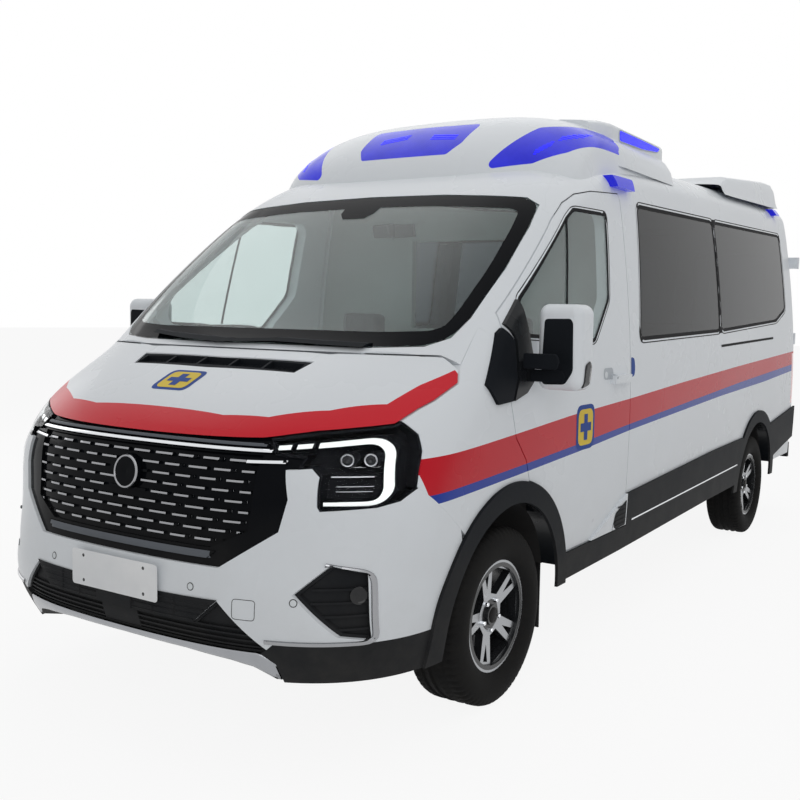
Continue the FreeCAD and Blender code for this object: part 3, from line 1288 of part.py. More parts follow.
def make_axles():
    """Steering knuckles, the live rear axle on its leaf springs and the front subframe."""
    inner = "track_width / 2 - kingpin_inset"
    face = "track_width / 2 + rim_width / 2 - rim_face_set_back - rim_face_dish - hub_pad_depth"
    stub_end = f"{face} + 0.5 * hub_pad_depth"
    knuckle = mid_box("knuckle_block", "knuckle_width", "knuckle_depth", "knuckle_height", inner,
                      station("front_overhang"), "tyre_radius - knuckle_height / 2")
    stub = cylinder("knuckle_stub", "stub_radius", f"{stub_end} - ({inner})", inner, station("front_overhang"),
                    "tyre_radius", X_AXIS)
    disc = cylinder("brake_disc", "brake_disc_radius", "brake_disc_depth", f"{face} - brake_disc_depth - seat_gap",
                    station("front_overhang"), "tyre_radius", X_AXIS)
    pin = cylinder("kingpin", "kingpin_radius", "knuckle_height / 2 + kingpin_rise", inner,
                   station("front_overhang"), "tyre_radius")
    left = fuse("knuckle_left_body", knuckle, stub, disc, pin)
    node("knuckle_left", left)
    node("knuckle_right", mirrored("knuckle_right_body", left))
    rear = station("front_overhang + wheelbase")
    tube = cylinder("axle_tube", "axle_tube_radius", f"2 * ({face} - brake_disc_depth)",
                    f"-({face}) + brake_disc_depth", rear, "tyre_radius", X_AXIS)
    stubs = cylinder("axle_stubs", "stub_radius", f"2 * ({stub_end})", f"-({stub_end})", rear, "tyre_radius", X_AXIS)
    case = doc.addObject("Part::Sphere", "differential")
    bind(case, Radius="differential_radius")
    case.Placement = FreeCAD.Placement(V(), FreeCAD.Rotation(Z_AXIS, 90))
    put(case, "0", rear, "tyre_radius")
    discs = []
    for sign, edge in ((1, f"{face} - brake_disc_depth - seat_gap"), (-1, f"-({face}) + seat_gap")):
        discs.append(cylinder(f"rear_disc_{sign}", "brake_disc_radius", "brake_disc_depth", edge, rear,
                              "tyre_radius", X_AXIS))
    springs = []
    for sign in ("", "-"):
        springs.append(mid_box(f"spring{sign}", "spring_leaf_width", "spring_length", "spring_leaf_height",
                               f"{sign}spring_centre_offset", rear, "tyre_radius + axle_tube_radius / 2"))
        for end in ("-", "+"):
            springs.append(mid_box(f"hanger{sign}{end}", "spring_leaf_width", "spring_leaf_height",
                                   "floor_height - floor_thickness - tyre_radius - axle_tube_radius / 2 - seat_gap",
                                   f"{sign}spring_centre_offset",
                                   f"{rear} {end} (spring_length - spring_leaf_height) / 2",
                                   "tyre_radius + axle_tube_radius / 2"))
    node("rear_axle", fuse("rear_axle_body", tube, stubs, case, *discs, *springs))
    cross = mid_box("subframe_cross", "2 * subframe_half_width", "subframe_length", "subframe_depth", "0",
                    station("front_overhang"), "subframe_base_height")
    parts = [cross]
    for sign in ("", "-"):
        parts.append(mid_box(f"subframe_tower{sign}", "rail_width", "arm_length",
                             "rail_base_height - subframe_base_height - seat_gap", f"{sign}rail_offset",
                             station("front_overhang"), "subframe_base_height"))
        parts.append(mid_box(f"lower_arm{sign}", f"{inner} - rail_offset + knuckle_width / 2", "arm_length",
                             "arm_depth", f"{sign}(rail_offset + {inner} + knuckle_width / 2) / 2",
                             station("front_overhang"), "tyre_radius - knuckle_height / 2 - arm_depth - seat_gap"))
    node("front_subframe", fuse("front_subframe_body", *parts))


def make_underbody():
    """Floor, frame rails, firewall, wheelhouses, engine, tank and exhaust."""
    width = "2 * (half_width - wall_thickness - floor_inset)"
    plate = mid_box("floor_plate", "2 * half_width", "overall_length - body_end_gap - rear_door_depth - floor_front_set_back - "
                    "shut_gap", "floor_thickness", "0",
                    station("(overall_length - body_end_gap - rear_door_depth + floor_front_set_back - shut_gap) / 2"),
                    "floor_height - floor_thickness")
    wall_board = slab("firewall", "side", FIREWALL_SHARES, "-firewall_half_width", "2 * firewall_half_width")
    house_cuts = []
    houses = []
    for place, where in (("front", "front_overhang"), ("rear", "front_overhang + wheelbase")):
        inner = f"wheelhouse_inner_{place}"
        house_cuts.append(cylinder(f"house_cut_{place}", "arch_radius + wheelhouse_wall + seat_gap", SPAN, SPAN_START,
                                   station(where), "tyre_radius", X_AXIS))
        depth = f"half_width - {inner}"
        outer = cylinder(f"house_outer_{place}", "arch_radius + wheelhouse_wall", depth, inner, station(where),
                         "tyre_radius", X_AXIS)
        space = cylinder(f"house_space_{place}", "arch_radius", depth, f"{inner} + wheelhouse_wall", station(where),
                         "tyre_radius", X_AXIS)
        below = mid_box(f"house_below_{place}", "2 * half_width", "2 * arch_radius + 2 * cut_overrun",
                        "1.25 * arch_radius + cut_overrun", "0", station(where),
                        "tyre_radius - arch_radius - cut_overrun")
        houses.append(common(f"house_{place}", cut(f"house_open_{place}", outer, space, below), under_wall))
    node("wheelhouses", *houses, *[mirrored(f"{house.Name}_right", house) for house in houses])
    spine = mid_box("spine_keep", "2 * wheelhouse_inner_rear - 2 * seat_gap", "overall_length", "roof_height", "0",
                    "0", "0")
    front_keep = mid_box("front_keep", "2 * wheelhouse_inner_front - 2 * seat_gap", "overall_length", "roof_height",
                         "0", "0", "0")
    side_cut_front = cut("side_cut_front", house_cuts[0], front_keep)
    side_cut_rear = cut("side_cut_rear", house_cuts[1], spine)
    floor = cut("floor_cut", common("floor_within", plate, rear_plug), side_cut_front, side_cut_rear)
    rails = []
    for sign in ("", "-"):
        rails.append(mid_box(f"rail{sign}", "rail_width", "rail_length", "rail_height",
                             f"{sign}rail_offset", station("rail_set_back + rail_length / 2"), "rail_base_height"))
    for index in range(5):
        rails.append(mid_box(f"cross_member_{index}", "2 * rail_offset", "rail_width", "rail_height", "0",
                             station(f"rail_set_back + rail_length * ({index} + 1.9) / 7"), "rail_base_height"))
    for sign in ("", "-"):
        for index, place in enumerate(("front_jack_set_back", "rear_jack_set_back")):
            rails.append(mid_box(f"jack_pad_{sign}{index}", "jack_pad_side", "jack_pad_side",
                                 "jack_pad_height + floor_thickness / 2", f"{sign}jack_pad_offset", station(place),
                                 "floor_height - floor_thickness - jack_pad_height"))
    for sign in ("", "-"):
        post = mid_box(f"front_post{sign}", "front_post_width", "front_post_width", "roof_height",
                       f"{sign}rail_offset", station("rail_set_back + front_post_width / 2"), "rail_base_height")
        rails.append(common(f"front_post_cut{sign}", post, under_panel))
    rails.append(mid_box("slam_panel", "2 * rail_offset", "front_post_width", "slam_panel_height", "0",
                         station("rail_set_back + front_post_width / 2"), "slam_panel_level"))
    frame = fuse("frame", floor, wall_board, *rails)
    node("chassis_floor", frame)
    node("engine_block", mid_box("engine", "engine_width", "engine_length", "engine_height", "0",
                                 station("engine_set_back + engine_length / 2"),
                                 "subframe_base_height + subframe_depth + seat_gap"))
    under = "floor_height - floor_thickness - seat_gap"
    tank = mid_box("fuel_tank", "tank_width", "tank_length", "tank_height",
                   "rail_offset + rail_width / 2 + tank_width / 2 + shut_gap", station("tank_set_back"),
                   f"{under} - tank_height")
    silencer = cylinder("silencer", "silencer_radius", "silencer_length",
                        "-rail_offset - rail_width - silencer_radius", station("silencer_set_back"),
                        f"{under} - 1.3 * silencer_radius", Y_AXIS)
    hanger = mid_box("silencer_hanger", "rail_width", "silencer_length / 3", "1.3 * silencer_radius",
                     "-rail_offset - rail_width - silencer_radius",
                     station("silencer_set_back + silencer_length / 2"), f"{under} - 1.3 * silencer_radius")
    pipe = cylinder("exhaust_pipe", "exhaust_pipe_radius", "exhaust_pipe_length",
                    "-rail_offset - rail_width - silencer_radius",
                    station("silencer_set_back + silencer_length / 2 - exhaust_pipe_length / 2"),
                    f"{under} - 1.3 * silencer_radius", Y_AXIS)
    node("tank_and_exhaust", tank, fuse("exhaust", silencer, hanger, pipe))
    flaps = []
    for place, where in (("front", "front_overhang"), ("rear", "front_overhang + wheelbase")):
        flaps.append(box(f"mud_flap_{place}", "mud_flap_width", "mud_flap_thickness",
                         f"{under} - mud_flap_base", f"{width} / 2 - mud_flap_width",
                         station(f"{where} + arch_radius + 2 * wheelhouse_wall"), "mud_flap_base"))
    node("mud_flaps", *flaps, *[mirrored(f"{flap.Name}_right", flap) for flap in flaps])


def make_interior():
    """Dashboard, seats, steering wheel, bulkhead, attendant bench and cabinet."""
    dash = slab("dash_profile", "side", DASH_SHARES, "-dash_half_width", "2 * dash_half_width")
    node("dashboard", cut("dash", dash, *column_space()))
    seats = []
    for side, sign in (("left", ""), ("right", "-")):
        x = f"{sign}seat_offset"
        cushion = mid_box(f"cushion_{side}", "seat_base_width", "seat_base_depth", "seat_base_height", x,
                          station("seat_set_back + seat_base_depth / 2"), "seat_height - seat_base_height")
        foot = mid_box(f"seat_foot_{side}", "seat_foot_width", "seat_foot_width",
                       "seat_height - seat_base_height - floor_height", x,
                       station("seat_set_back + seat_base_depth / 2"), "floor_height + seat_gap")
        back = mid_box(f"seat_back_{side}", "seat_base_width", "seat_back_depth", "seat_back_height", x,
                       station("seat_set_back + seat_base_depth"), "seat_height - seat_base_height")
        head = mid_box(f"headrest_{side}", "headrest_width", "headrest_depth", "headrest_height", x,
                       station("seat_set_back + seat_base_depth"),
                       "seat_height - seat_base_height + seat_back_height - headrest_bury")
        seats.append(fuse(f"seat_{side}", rounded(f"cushion_soft_{side}", cushion, "seat_corner"), foot,
                          rounded(f"back_soft_{side}", back, "seat_corner"),
                          rounded(f"head_soft_{side}", head, "seat_corner")))
    node("cab_seats", *seats)
    slice_box = mid_box("bulkhead_slice", "2 * half_width", "bulkhead_thickness", "roof_height", "0",
                        station("bulkhead_set_back"), "floor_height + seat_gap")
    window = mid_box("bulkhead_window", "bulkhead_window_width", "2 * bulkhead_thickness", "bulkhead_window_height",
                     "0", station("bulkhead_set_back"), "bulkhead_window_level")
    node("bulkhead", cut("bulkhead_board", common("bulkhead_skin", under_wall, slice_box), window))
    bench = mid_box("attendant_bench_box", "bench_width", "bench_length", "bench_height",
                    "bench_width / 2 - bench_reach", station("bench_set_back + bench_length / 2"),
                    "floor_height + seat_gap")
    cabinet = mid_box("cabinet", "cabinet_width", "cabinet_length", "cabinet_height",
                      "bench_reach - cabinet_width / 2",
                      station("bulkhead_set_back + bulkhead_thickness + cabinet_length / 2"), "floor_height + seat_gap")
    node("bench_and_cabinet", rounded("bench_soft", bench, "seat_corner"), cabinet)


def tilted(item, along="0"):
    """Lay an object made along Z onto the steering column's axis, some way along it."""
    item.Placement = FreeCAD.Placement(V(), FreeCAD.Rotation(X_AXIS, -size("steering_tilt")))
    return put(item, "seat_offset", station(f"steering_set_back + ({along}) * sin(steering_tilt * 1 deg)"),
               f"steering_height + ({along}) * cos(steering_tilt * 1 deg)")


def column_space():
    """Clearance through the dashboard for the steering column."""
    return [tilted(bind(doc.addObject("Part::Cylinder", "column_clearance"), Radius="column_radius + seat_gap",
                        Height="2 * column_length"), "-2 * column_length")]


def make_steering_wheel():
    """Rim, hub, three spokes and the column stub that turns in the dashboard."""
    rim = bind(doc.addObject("Part::Torus", "steering_rim"), Radius1="steering_wheel_radius",
               Radius2="steering_rim_radius")
    hub = bind(doc.addObject("Part::Cylinder", "steering_hub"), Radius="steering_hub_radius",
               Height="steering_hub_depth")
    column = bind(doc.addObject("Part::Cylinder", "steering_column"), Radius="column_radius",
                  Height="column_length")
    pieces = [tilted(rim, "0"), tilted(hub, "-steering_hub_depth / 2"), tilted(column, "-column_length")]
    for index in range(3):
        spoke = bind(doc.addObject("Part::Box", f"steering_spoke_{index}"), Length="steering_wheel_radius",
                     Width="steering_rim_radius * 1.8", Height="steering_rim_radius * 0.8")
        turn = FreeCAD.Rotation(X_AXIS, -size("steering_tilt")) * FreeCAD.Rotation(Z_AXIS, index * 90)
        spoke.Placement = FreeCAD.Placement(V(), turn)
        put(spoke, "seat_offset", station("steering_set_back"), "steering_height")
        pieces.append(spoke)
    node("steering_wheel", fuse("steering_wheel_body", *pieces))


def make_side_lamps():
    """Small square warning lamps high on the sides."""
    stand = layer("side_lamp_layer", BODY, -size("side_lamp_stand"), -size("seat_gap"))
    lamps = []
    for index, shares in enumerate(SIDE_LAMP_TABLES):
        region = slab(f"side_lamp_region_{index}", "side", shares, *LEFT)
        lamps.append(common(f"side_lamp_{index}", stand, region))
    node("side_lamps", *lamps, *[mirrored(f"{lamp.Name}_right", lamp) for lamp in lamps])


windshield_cut, door_cut = make_windshield_and_pillars()
make_doors()
make_sides(door_cut)
make_roof(windshield_cut)
make_hood_and_fenders(door_cut)
nose_region = make_bumper()
make_grille(nose_region)
make_headlamps(nose_region)
make_bumper_insets(nose_region)
make_rear_doors()
make_roof_pod()
make_trims(door_cut)
for wheel_place, wheel_set_back in (("front", "front_overhang"), ("rear", "front_overhang + wheelbase")):
    make_wheel(wheel_place, "left", "track_width / 2", wheel_set_back)
    make_wheel(wheel_place, "right", "-track_width / 2", wheel_set_back)
make_axles()
make_underbody()
make_interior()
make_steering_wheel()
make_side_lamps()

doc.recompute()
for item in doc.Objects:
    if "Invalid" in item.State or "Error" in item.State:
        raise RuntimeError(f"{item.Name} failed: {item.State}")
os.makedirs("parts", exist_ok=True)
for label, item in nodes.items():
    shape = item.Shape
    if shape.isNull() or not shape.isValid() or not shape.Solids:
        raise RuntimeError(f"{label} has no valid solid")
    shape.exportStep(f"parts/{label}.step")
    print(f"{label:24s} solids {len(shape.Solids)} faces {len(shape.Faces)} volume {shape.Volume / 1e6:.3f} l")
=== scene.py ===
"""Finishes, glass, lamps, trim and small fittings of a van ambulance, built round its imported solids."""

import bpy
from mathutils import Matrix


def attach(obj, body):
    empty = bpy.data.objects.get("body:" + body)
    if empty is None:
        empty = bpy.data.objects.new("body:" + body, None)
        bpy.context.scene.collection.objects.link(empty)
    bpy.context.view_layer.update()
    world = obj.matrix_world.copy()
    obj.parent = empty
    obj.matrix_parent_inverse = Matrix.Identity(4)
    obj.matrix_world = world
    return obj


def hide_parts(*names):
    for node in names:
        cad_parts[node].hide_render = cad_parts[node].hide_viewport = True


bl_info = {
    "name": "Van ambulance finishes",
    "version": (1, 0, 0),
    "blender": (4, 5, 0),
    "location": "View3D > Sidebar > Ambulance",
    "description": "Paint, stripes, glass, lamps and fittings of a high-roof van ambulance",
    "category": "Object",
}

import math

import bmesh
import bpy
from mathutils import Matrix, Vector
from mathutils.bvhtree import BVHTree

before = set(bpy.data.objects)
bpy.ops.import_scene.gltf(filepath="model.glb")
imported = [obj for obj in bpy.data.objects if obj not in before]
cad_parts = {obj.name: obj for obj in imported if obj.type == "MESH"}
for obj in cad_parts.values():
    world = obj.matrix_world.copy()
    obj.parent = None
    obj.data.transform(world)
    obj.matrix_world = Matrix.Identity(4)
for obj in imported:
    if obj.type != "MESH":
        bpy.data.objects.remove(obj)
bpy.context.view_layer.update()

# Places are in millimetres: x to the vehicle's left, distance behind the front, height over the ground.
HALF_LENGTH = 2990
FRONT_AXLE = 1045
REAR_AXLE = 4795
HUB_HEIGHT = 353
HALF_TRACK = 870
SIDES = (1, -1)
ACROSS = Vector((1, 0, 0))
BACK = Vector((0, 1, 0))
UP = Vector((0, 0, 1))


def at(x, distance, height):
    """A point in metres from its place in millimetres."""
    return Vector((x, distance - HALF_LENGTH, height)) / 1000


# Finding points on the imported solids

trees = {}


def surface(names):
    """A search tree over the meshes of some CAD nodes."""
    if names not in trees:
        points, polygons = [], []
        for name in names:
            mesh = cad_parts[name].data
            first = len(points)
            points += [vertex.co.copy() for vertex in mesh.vertices]
            polygons += [[first + index for index in polygon.vertices] for polygon in mesh.polygons]
        trees[names] = BVHTree.FromPolygons(points, polygons)
    return trees[names]


def meet(names, start, direction, lift):
    """Where a line first meets the nodes, lifted off by some millimetres, and the outward normal there."""
    point, normal, _, _ = surface(names).ray_cast(start, direction)
    if point is None:
        point, normal, _, _ = surface(names).find_nearest(start + direction * 1.5)
    if normal.dot(direction) > 0:
        normal = -normal
    return point + normal * lift / 1000, normal


def from_front(names, x, height, lift=0):
    """Where a line from the front meets the nodes."""
    return meet(names, at(x, -500, height), BACK, lift)[0]


def from_side(names, distance, height, lift=0, side=1):
    """Where a line from the vehicle's left, or with -1 from its right, meets the nodes."""
    return meet(names, at(1500 * side, distance, height), -ACROSS * side, lift)[0]


def from_rear(names, x, height, lift=0):
    """Where a line from behind meets the nodes."""
    return meet(names, at(x, 7000, height), -BACK, lift)[0]


def from_above(names, x, distance, lift=0):
    """Where a line from above meets the nodes."""
    return meet(names, at(x, distance, 3000), -UP, lift)[0]


# Building meshes

class Form:
    """Points and faces that are gathered into one mesh."""

    def __init__(self):
        self.points = []
        self.faces = []

    def add(self, points, faces):
        """Takes in points and the faces between them."""
        first = len(self.points)
        self.points += [Vector(point) for point in points]
        self.faces += [[first + index for index in face] for face in faces]
        return self

    def mirrored(self):
        """The same form on the vehicle's other side."""
        other = Form()
        other.points = [Vector((-point.x, point.y, point.z)) for point in self.points]
        other.faces = [list(reversed(face)) for face in self.faces]
        return other

    def both(self):
        """This form and its mirror image together."""
        other = self.mirrored()
        return self.add(other.points, other.faces)

    def grid(self, rows, closed=False):
        """Quads between rows of points of equal length."""
        wide = len(rows[0])
        faces = []
        for i in range(len(rows) - 1):
            for j in range(wide if closed else wide - 1):
                k = (j + 1) % wide
                faces.append([i * wide + j, i * wide + k, (i + 1) * wide + k, (i + 1) * wide + j])
        return self.add([point for row in rows for point in row], faces)

    def tube(self, path, radius, sides=10):
        """A round bar along a path, closed at its ends."""
        rows = []
        for index, point in enumerate(path):
            before, after = path[max(index - 1, 0)], path[min(index + 1, len(path) - 1)]
            run = (after - before).normalized()
            side = run.cross(UP if abs(run.z) < 0.9 else ACROSS).normalized()
            other = run.cross(side)
            turns = [2 * math.pi * k / sides for k in range(sides)]
            rows.append([point + (side * math.cos(t) + other * math.sin(t)) * radius / 1000 for t in turns])
        first = len(self.points)
        self.grid(rows, closed=True)
        last = first + (len(rows) - 1) * sides
        self.faces.append([first + k for k in reversed(range(sides))])
        self.faces.append([last + k for k in range(sides)])
        return self

    def lathe(self, centre, axis, profile, sides=32):
        """A profile of (along, radius) millimetres turned about an axis."""
        side = axis.cross(UP if abs(axis.z) < 0.9 else ACROSS).normalized()
        other = axis.cross(side)
        rows = []
        for along, radius in profile:
            turns = [2 * math.pi * k / sides for k in range(sides)]
            middle = centre + axis * along / 1000
            rows.append([middle + (side * math.cos(t) + other * math.sin(t)) * radius / 1000 for t in turns])
        return self.grid(rows, closed=True)

    def slab(self, outline, depth):
        """A flat outline pushed along a vector of metres."""
        count = len(outline)
        faces = [list(range(count)), list(reversed(range(count, 2 * count)))]
        faces += [[k, k + count, (k + 1) % count + count, (k + 1) % count] for k in range(count)]
        return self.add(list(outline) + [point + depth for point in outline], faces)

    def bar(self, start, end, width, thickness, out):
        """A straight bar of rectangular section, its flat face square to the outward direction."""
        run = (end - start).normalized()
        side = run.cross(out).normalized() * width / 2000
        face = out.normalized() * thickness / 1000
        return self.slab([start - side, end - side, end + side, start + side], face)


def piece(name, form, finish, body, smooth=40, bevel=0.0, thickness=0.0, subdivide=0):
    """One named piece of the vehicle, with its finish, riding on a body."""
    mesh = bpy.data.meshes.new(name)
    mesh.from_pydata(form.points, [], form.faces)
    mesh.materials.append(finish)
    work = bmesh.new()
    work.from_mesh(mesh)
    bmesh.ops.recalc_face_normals(work, faces=work.faces)
    work.to_mesh(mesh)
    work.free()
    thing = bpy.data.objects.new(name, mesh)
    bpy.context.scene.collection.objects.link(thing)
    mesh.shade_smooth()
    mesh.set_sharp_from_angle(angle=math.radians(smooth))
    if thickness:
        shell = thing.modifiers.new("thickness", "SOLIDIFY")
        shell.thickness = thickness / 1000
        shell.offset = 0
    if bevel:
        soft = thing.modifiers.new("soft_edges", "BEVEL")
        soft.width = bevel / 1000
        soft.segments = 2
        soft.limit_method = "ANGLE"
    if subdivide:
        smoother = thing.modifiers.new("smooth_form", "SUBSURF")
        smoother.levels = smoother.render_levels = subdivide
    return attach(thing, body)


def resampled(points, count, closed=False):
    """The same line as evenly spaced points."""
    points = [Vector(point) for point in points]
    if closed:
        points = points + [points[0]]
    lengths = [0.0]
    for a, b in zip(points, points[1:]):
        lengths.append(lengths[-1] + (b - a).length)
    result = []
    steps = count if closed else count - 1
    for k in range(count):
        goal = lengths[-1] * k / steps
        index = max(i for i in range(len(points) - 1) if lengths[i] <= goal + 1e-9)
        part = (goal - lengths[index]) / max(lengths[index + 1] - lengths[index], 1e-9)
        result.append(points[index].lerp(points[index + 1], min(part, 1.0)))
    return result


def rounded(points, radius, steps=5):
    """A closed flat outline with its corners rounded."""
    points = [Vector(point) for point in points]
    result = []
    for index, corner in enumerate(points):
        back = points[index - 1] - corner
        ahead = points[(index + 1) % len(points)] - corner
        reach = min(radius, back.length / 2.2, ahead.length / 2.2)
        start, end = corner + back.normalized() * reach, corner + ahead.normalized() * reach
        for k in range(steps + 1):
            t = k / steps
            result.append(start * (1 - t) ** 2 + corner * 2 * t * (1 - t) + end * t ** 2)
    return result


def inset(points, amount):
    """A closed flat outline moved inwards."""
    points = [Vector(point) for point in points]
    area = sum(a.x * b.y - b.x * a.y for a, b in zip(points, points[1:] + points[:1]))
    turn = 1 if area > 0 else -1
    result = []
    for index, corner in enumerate(points):
        before = (corner - points[index - 1]).normalized()
        after = (points[(index + 1) % len(points)] - corner).normalized()
        normal = Vector((-before.y - after.y, before.x + after.x, 0)) * turn
        scale = amount / max(normal.length_squared / 2, 0.2)
        result.append(corner + normal * scale)
    return result


def on_nodes(outline, view, names, lift, side=1):
    """A flat outline of millimetres laid on the nodes, as seen from the front, the rear, above or a side."""
    views = {"front": from_front, "rear": from_rear, "above": from_above}
    if view in views:
        return [views[view](names, spot[0], spot[1], lift) for spot in outline]
    return [from_side(names, spot[0], spot[1], lift, side) for spot in outline]


def band_on(form, outer, inner, view, names, lift, side=1, count=120, across=2):
    """A closed band between two outlines, laid on the nodes."""
    outside, inside = resampled(outer, count, True), resampled(inner, count, True)
    rows = []
    for step in range(across + 1):
        part = step / across
        line = [a.lerp(b, part) for a, b in zip(outside, inside)]
        rows.append(on_nodes(line, view, names, lift, side))
    return form.grid(rows, closed=True)


def patch_on(form, outline, view, names, lift, side=1, step=40):
    """A filled outline laid on the nodes, fine enough to follow their curve."""
    work = bmesh.new()
    corners = [work.verts.new((a, b, 0)) for a, b in outline]
    work.faces.new(corners).normal_update()
    bmesh.ops.triangulate(work, faces=work.faces[:])
    for _ in range(7):
        long_edges = [edge for edge in work.edges if edge.calc_length() > step]
        if not long_edges:
            break
        bmesh.ops.subdivide_edges(work, edges=long_edges, cuts=1)
        bmesh.ops.triangulate(work, faces=work.faces[:])
    work.verts.index_update()
    flat = [(vertex.co.x, vertex.co.y) for vertex in work.verts]
    faces = [[vertex.index for vertex in face.verts] for face in work.faces]
    work.free()
    return form.add(on_nodes(flat, view, names, lift, side), faces)


# Materials

def feed(tree, made, inputs):
    """Sets a node's inputs to plain values, or links them to other nodes' outputs."""
    for name, value in inputs.items():
        if isinstance(value, bpy.types.NodeSocket):
            tree.links.new(value, made.inputs[name])
        else:
            made.inputs[name].default_value = value
    return made


def put_node(tree, kind, inputs=None, **settings):
    """A new node with its settings and its inputs."""
    made = tree.nodes.new(kind)
    for name, value in settings.items():
        setattr(made, name, value)
    return feed(tree, made, inputs or {})


def axes(tree, vector):
    """The three parts of a vector, by their letters."""
    return put_node(tree, "ShaderNodeSeparateXYZ", {0: vector}).outputs


def calculate(tree, operation, first, second=0.0):
    """The output of one sum, product or comparison."""
    made = put_node(tree, "ShaderNodeMath", {0: first, 1: second}, operation=operation)
    return made.outputs[0]


def new_group(name, inputs, outputs):
    """An empty shader group with named sockets, and its two end nodes."""
    group = bpy.data.node_groups.new(name, "ShaderNodeTree")
    for label, kind, default in inputs:
        socket = group.interface.new_socket(name=label, in_out="INPUT", socket_type=kind)
        if default is not None:
            socket.default_value = default
    for label, kind in outputs:
        group.interface.new_socket(name=label, in_out="OUTPUT", socket_type=kind)
    return group, group.nodes.new("NodeGroupInput"), group.nodes.new("NodeGroupOutput")


def group_uneven():
    """Soft and fine unevenness of a surface: a mask for roughness and a height for bump."""
    group, start, end = new_group(
        "uneven_surface",
        [("Vector", "NodeSocketVector", None), ("Broad", "NodeSocketFloat", 2.0),
         ("Fine", "NodeSocketFloat", 400.0)],
        [("Mask", "NodeSocketFloat"), ("Height", "NodeSocketFloat")])
    broad = put_node(group, "ShaderNodeTexNoise",
                     {"Vector": start.outputs["Vector"], "Scale": start.outputs["Broad"],
                                                   "Detail": 4.0, "Roughness": 0.6})
    fine = put_node(group, "ShaderNodeTexNoise",
                    {"Vector": start.outputs["Vector"], "Scale": start.outputs["Fine"],
                                                  "Detail": 2.0, "Roughness": 0.5})
    group.links.new(broad.outputs[0], end.inputs["Mask"])
    group.links.new(fine.outputs[0], end.inputs["Height"])
    return group


def group_road_dust():
    """Dust that thickens towards the ground and lies in patches."""
    group, start, end = new_group(
        "road_dust",
        [("Vector", "NodeSocketVector", None), ("Top", "NodeSocketFloat", 0.7),
         ("Strength", "NodeSocketFloat", 0.5)],
        [("Mask", "NodeSocketFloat")])
    height = axes(group, start.outputs["Vector"])["Z"]
    low = put_node(group, "ShaderNodeMapRange",
                   {"Value": height, "From Min": start.outputs["Top"], "From Max": 0.0,
                                                 "To Min": 0.0, "To Max": 1.0})
    patches = put_node(group, "ShaderNodeTexNoise",
                       {"Vector": start.outputs["Vector"], "Scale": 7.0, "Detail": 6.0,
                                                     "Roughness": 0.65})
    spread = calculate(group, "MULTIPLY", low.outputs[0], patches.outputs[0])
    group.links.new(calculate(group, "MULTIPLY", spread, start.outputs["Strength"]), end.inputs["Mask"])
    return group


def line_height(tree, along, points):
    """The height of a bent line over a coordinate, as a sum of clamped ramps."""
    total = points[0][1]
    for (a, low), (b, high) in zip(points, points[1:]):
        ramp = put_node(tree, "ShaderNodeMapRange",
                        {"Value": along, "From Min": a, "From Max": b, "To Min": 0.0,
                                                     "To Max": high - low})
        total = calculate(tree, "ADD", ramp.outputs[0], total)
    return total


def metres(points, first_is_distance=True):
    """Pairs of millimetres as metres, the first counted from the vehicle's middle."""
    shift = HALF_LENGTH if first_is_distance else 0
    return [((a - shift) / 1000, b / 1000) for a, b in points]


# Edges of the side stripes: distance behind the front, height
RED_TOP = [(380, 1042), (464, 1047), (1050, 1079), (1562, 1110), (2288, 1140), (3033, 1178), (4255, 1232),
           (5930, 1298)]
RED_FOOT = [(380, 918), (457, 923), (1133, 952), (1625, 976), (2285, 1014), (3787, 1095), (4255, 1120),
            (5930, 1196)]
BLUE_FOOT = [(380, 886), (491, 891), (1147, 920), (1656, 944), (2288, 983), (3792, 1055), (4947, 1096),
             (5930, 1146)]
# Inner edge of the hood's front band: half width, distance behind the front
HOOD_BAND = [(0, 195), (332, 196), (509, 229), (690, 332), (835, 461), (877, 598), (934, 737)]
# The stripes' front end: distance behind the front at a height, and how far it leans back per fall
STRIPES_START = 474
STRIPES_LEVEL = 900
STRIPES_SLOPE = 0.37
# Nothing nearer to the middle than this is striped
STRIPES_INNER = 780


def group_stripes():
    """Masks for the red and the blue stripe, from the place on the body."""
    group, start, end = new_group("side_stripes", [("Vector", "NodeSocketVector", None)],
                                  [("Red", "NodeSocketFloat"), ("Blue", "NodeSocketFloat")])
    place = axes(group, start.outputs["Vector"])
    along, height = place["Y"], place["Z"]
    outward = calculate(group, "ABSOLUTE", place["X"])
    below_top = calculate(group, "LESS_THAN", height, line_height(group, along, metres(RED_TOP)))
    middle = line_height(group, along, metres(RED_FOOT))
    above_middle = calculate(group, "GREATER_THAN", height, middle)
    below_middle = calculate(group, "LESS_THAN", height, middle)
    above_foot = calculate(group, "GREATER_THAN", height, line_height(group, along, metres(BLUE_FOOT)))
    on_side = calculate(group, "GREATER_THAN", outward, STRIPES_INNER / 1000)
    leaned = calculate(group, "SUBTRACT", along, calculate(group, "MULTIPLY", height, -STRIPES_SLOPE))
    first = (STRIPES_START - HALF_LENGTH + STRIPES_SLOPE * STRIPES_LEVEL) / 1000
    behind_lamp = calculate(group, "GREATER_THAN", leaned, first)
    zone = calculate(group, "MULTIPLY", on_side, behind_lamp)
    red = calculate(group, "MULTIPLY", calculate(group, "MULTIPLY", below_top, above_middle), zone)
    blue = calculate(group, "MULTIPLY", calculate(group, "MULTIPLY", below_middle, above_foot), zone)
    group.links.new(red, end.inputs["Red"])
    group.links.new(blue, end.inputs["Blue"])
    return group


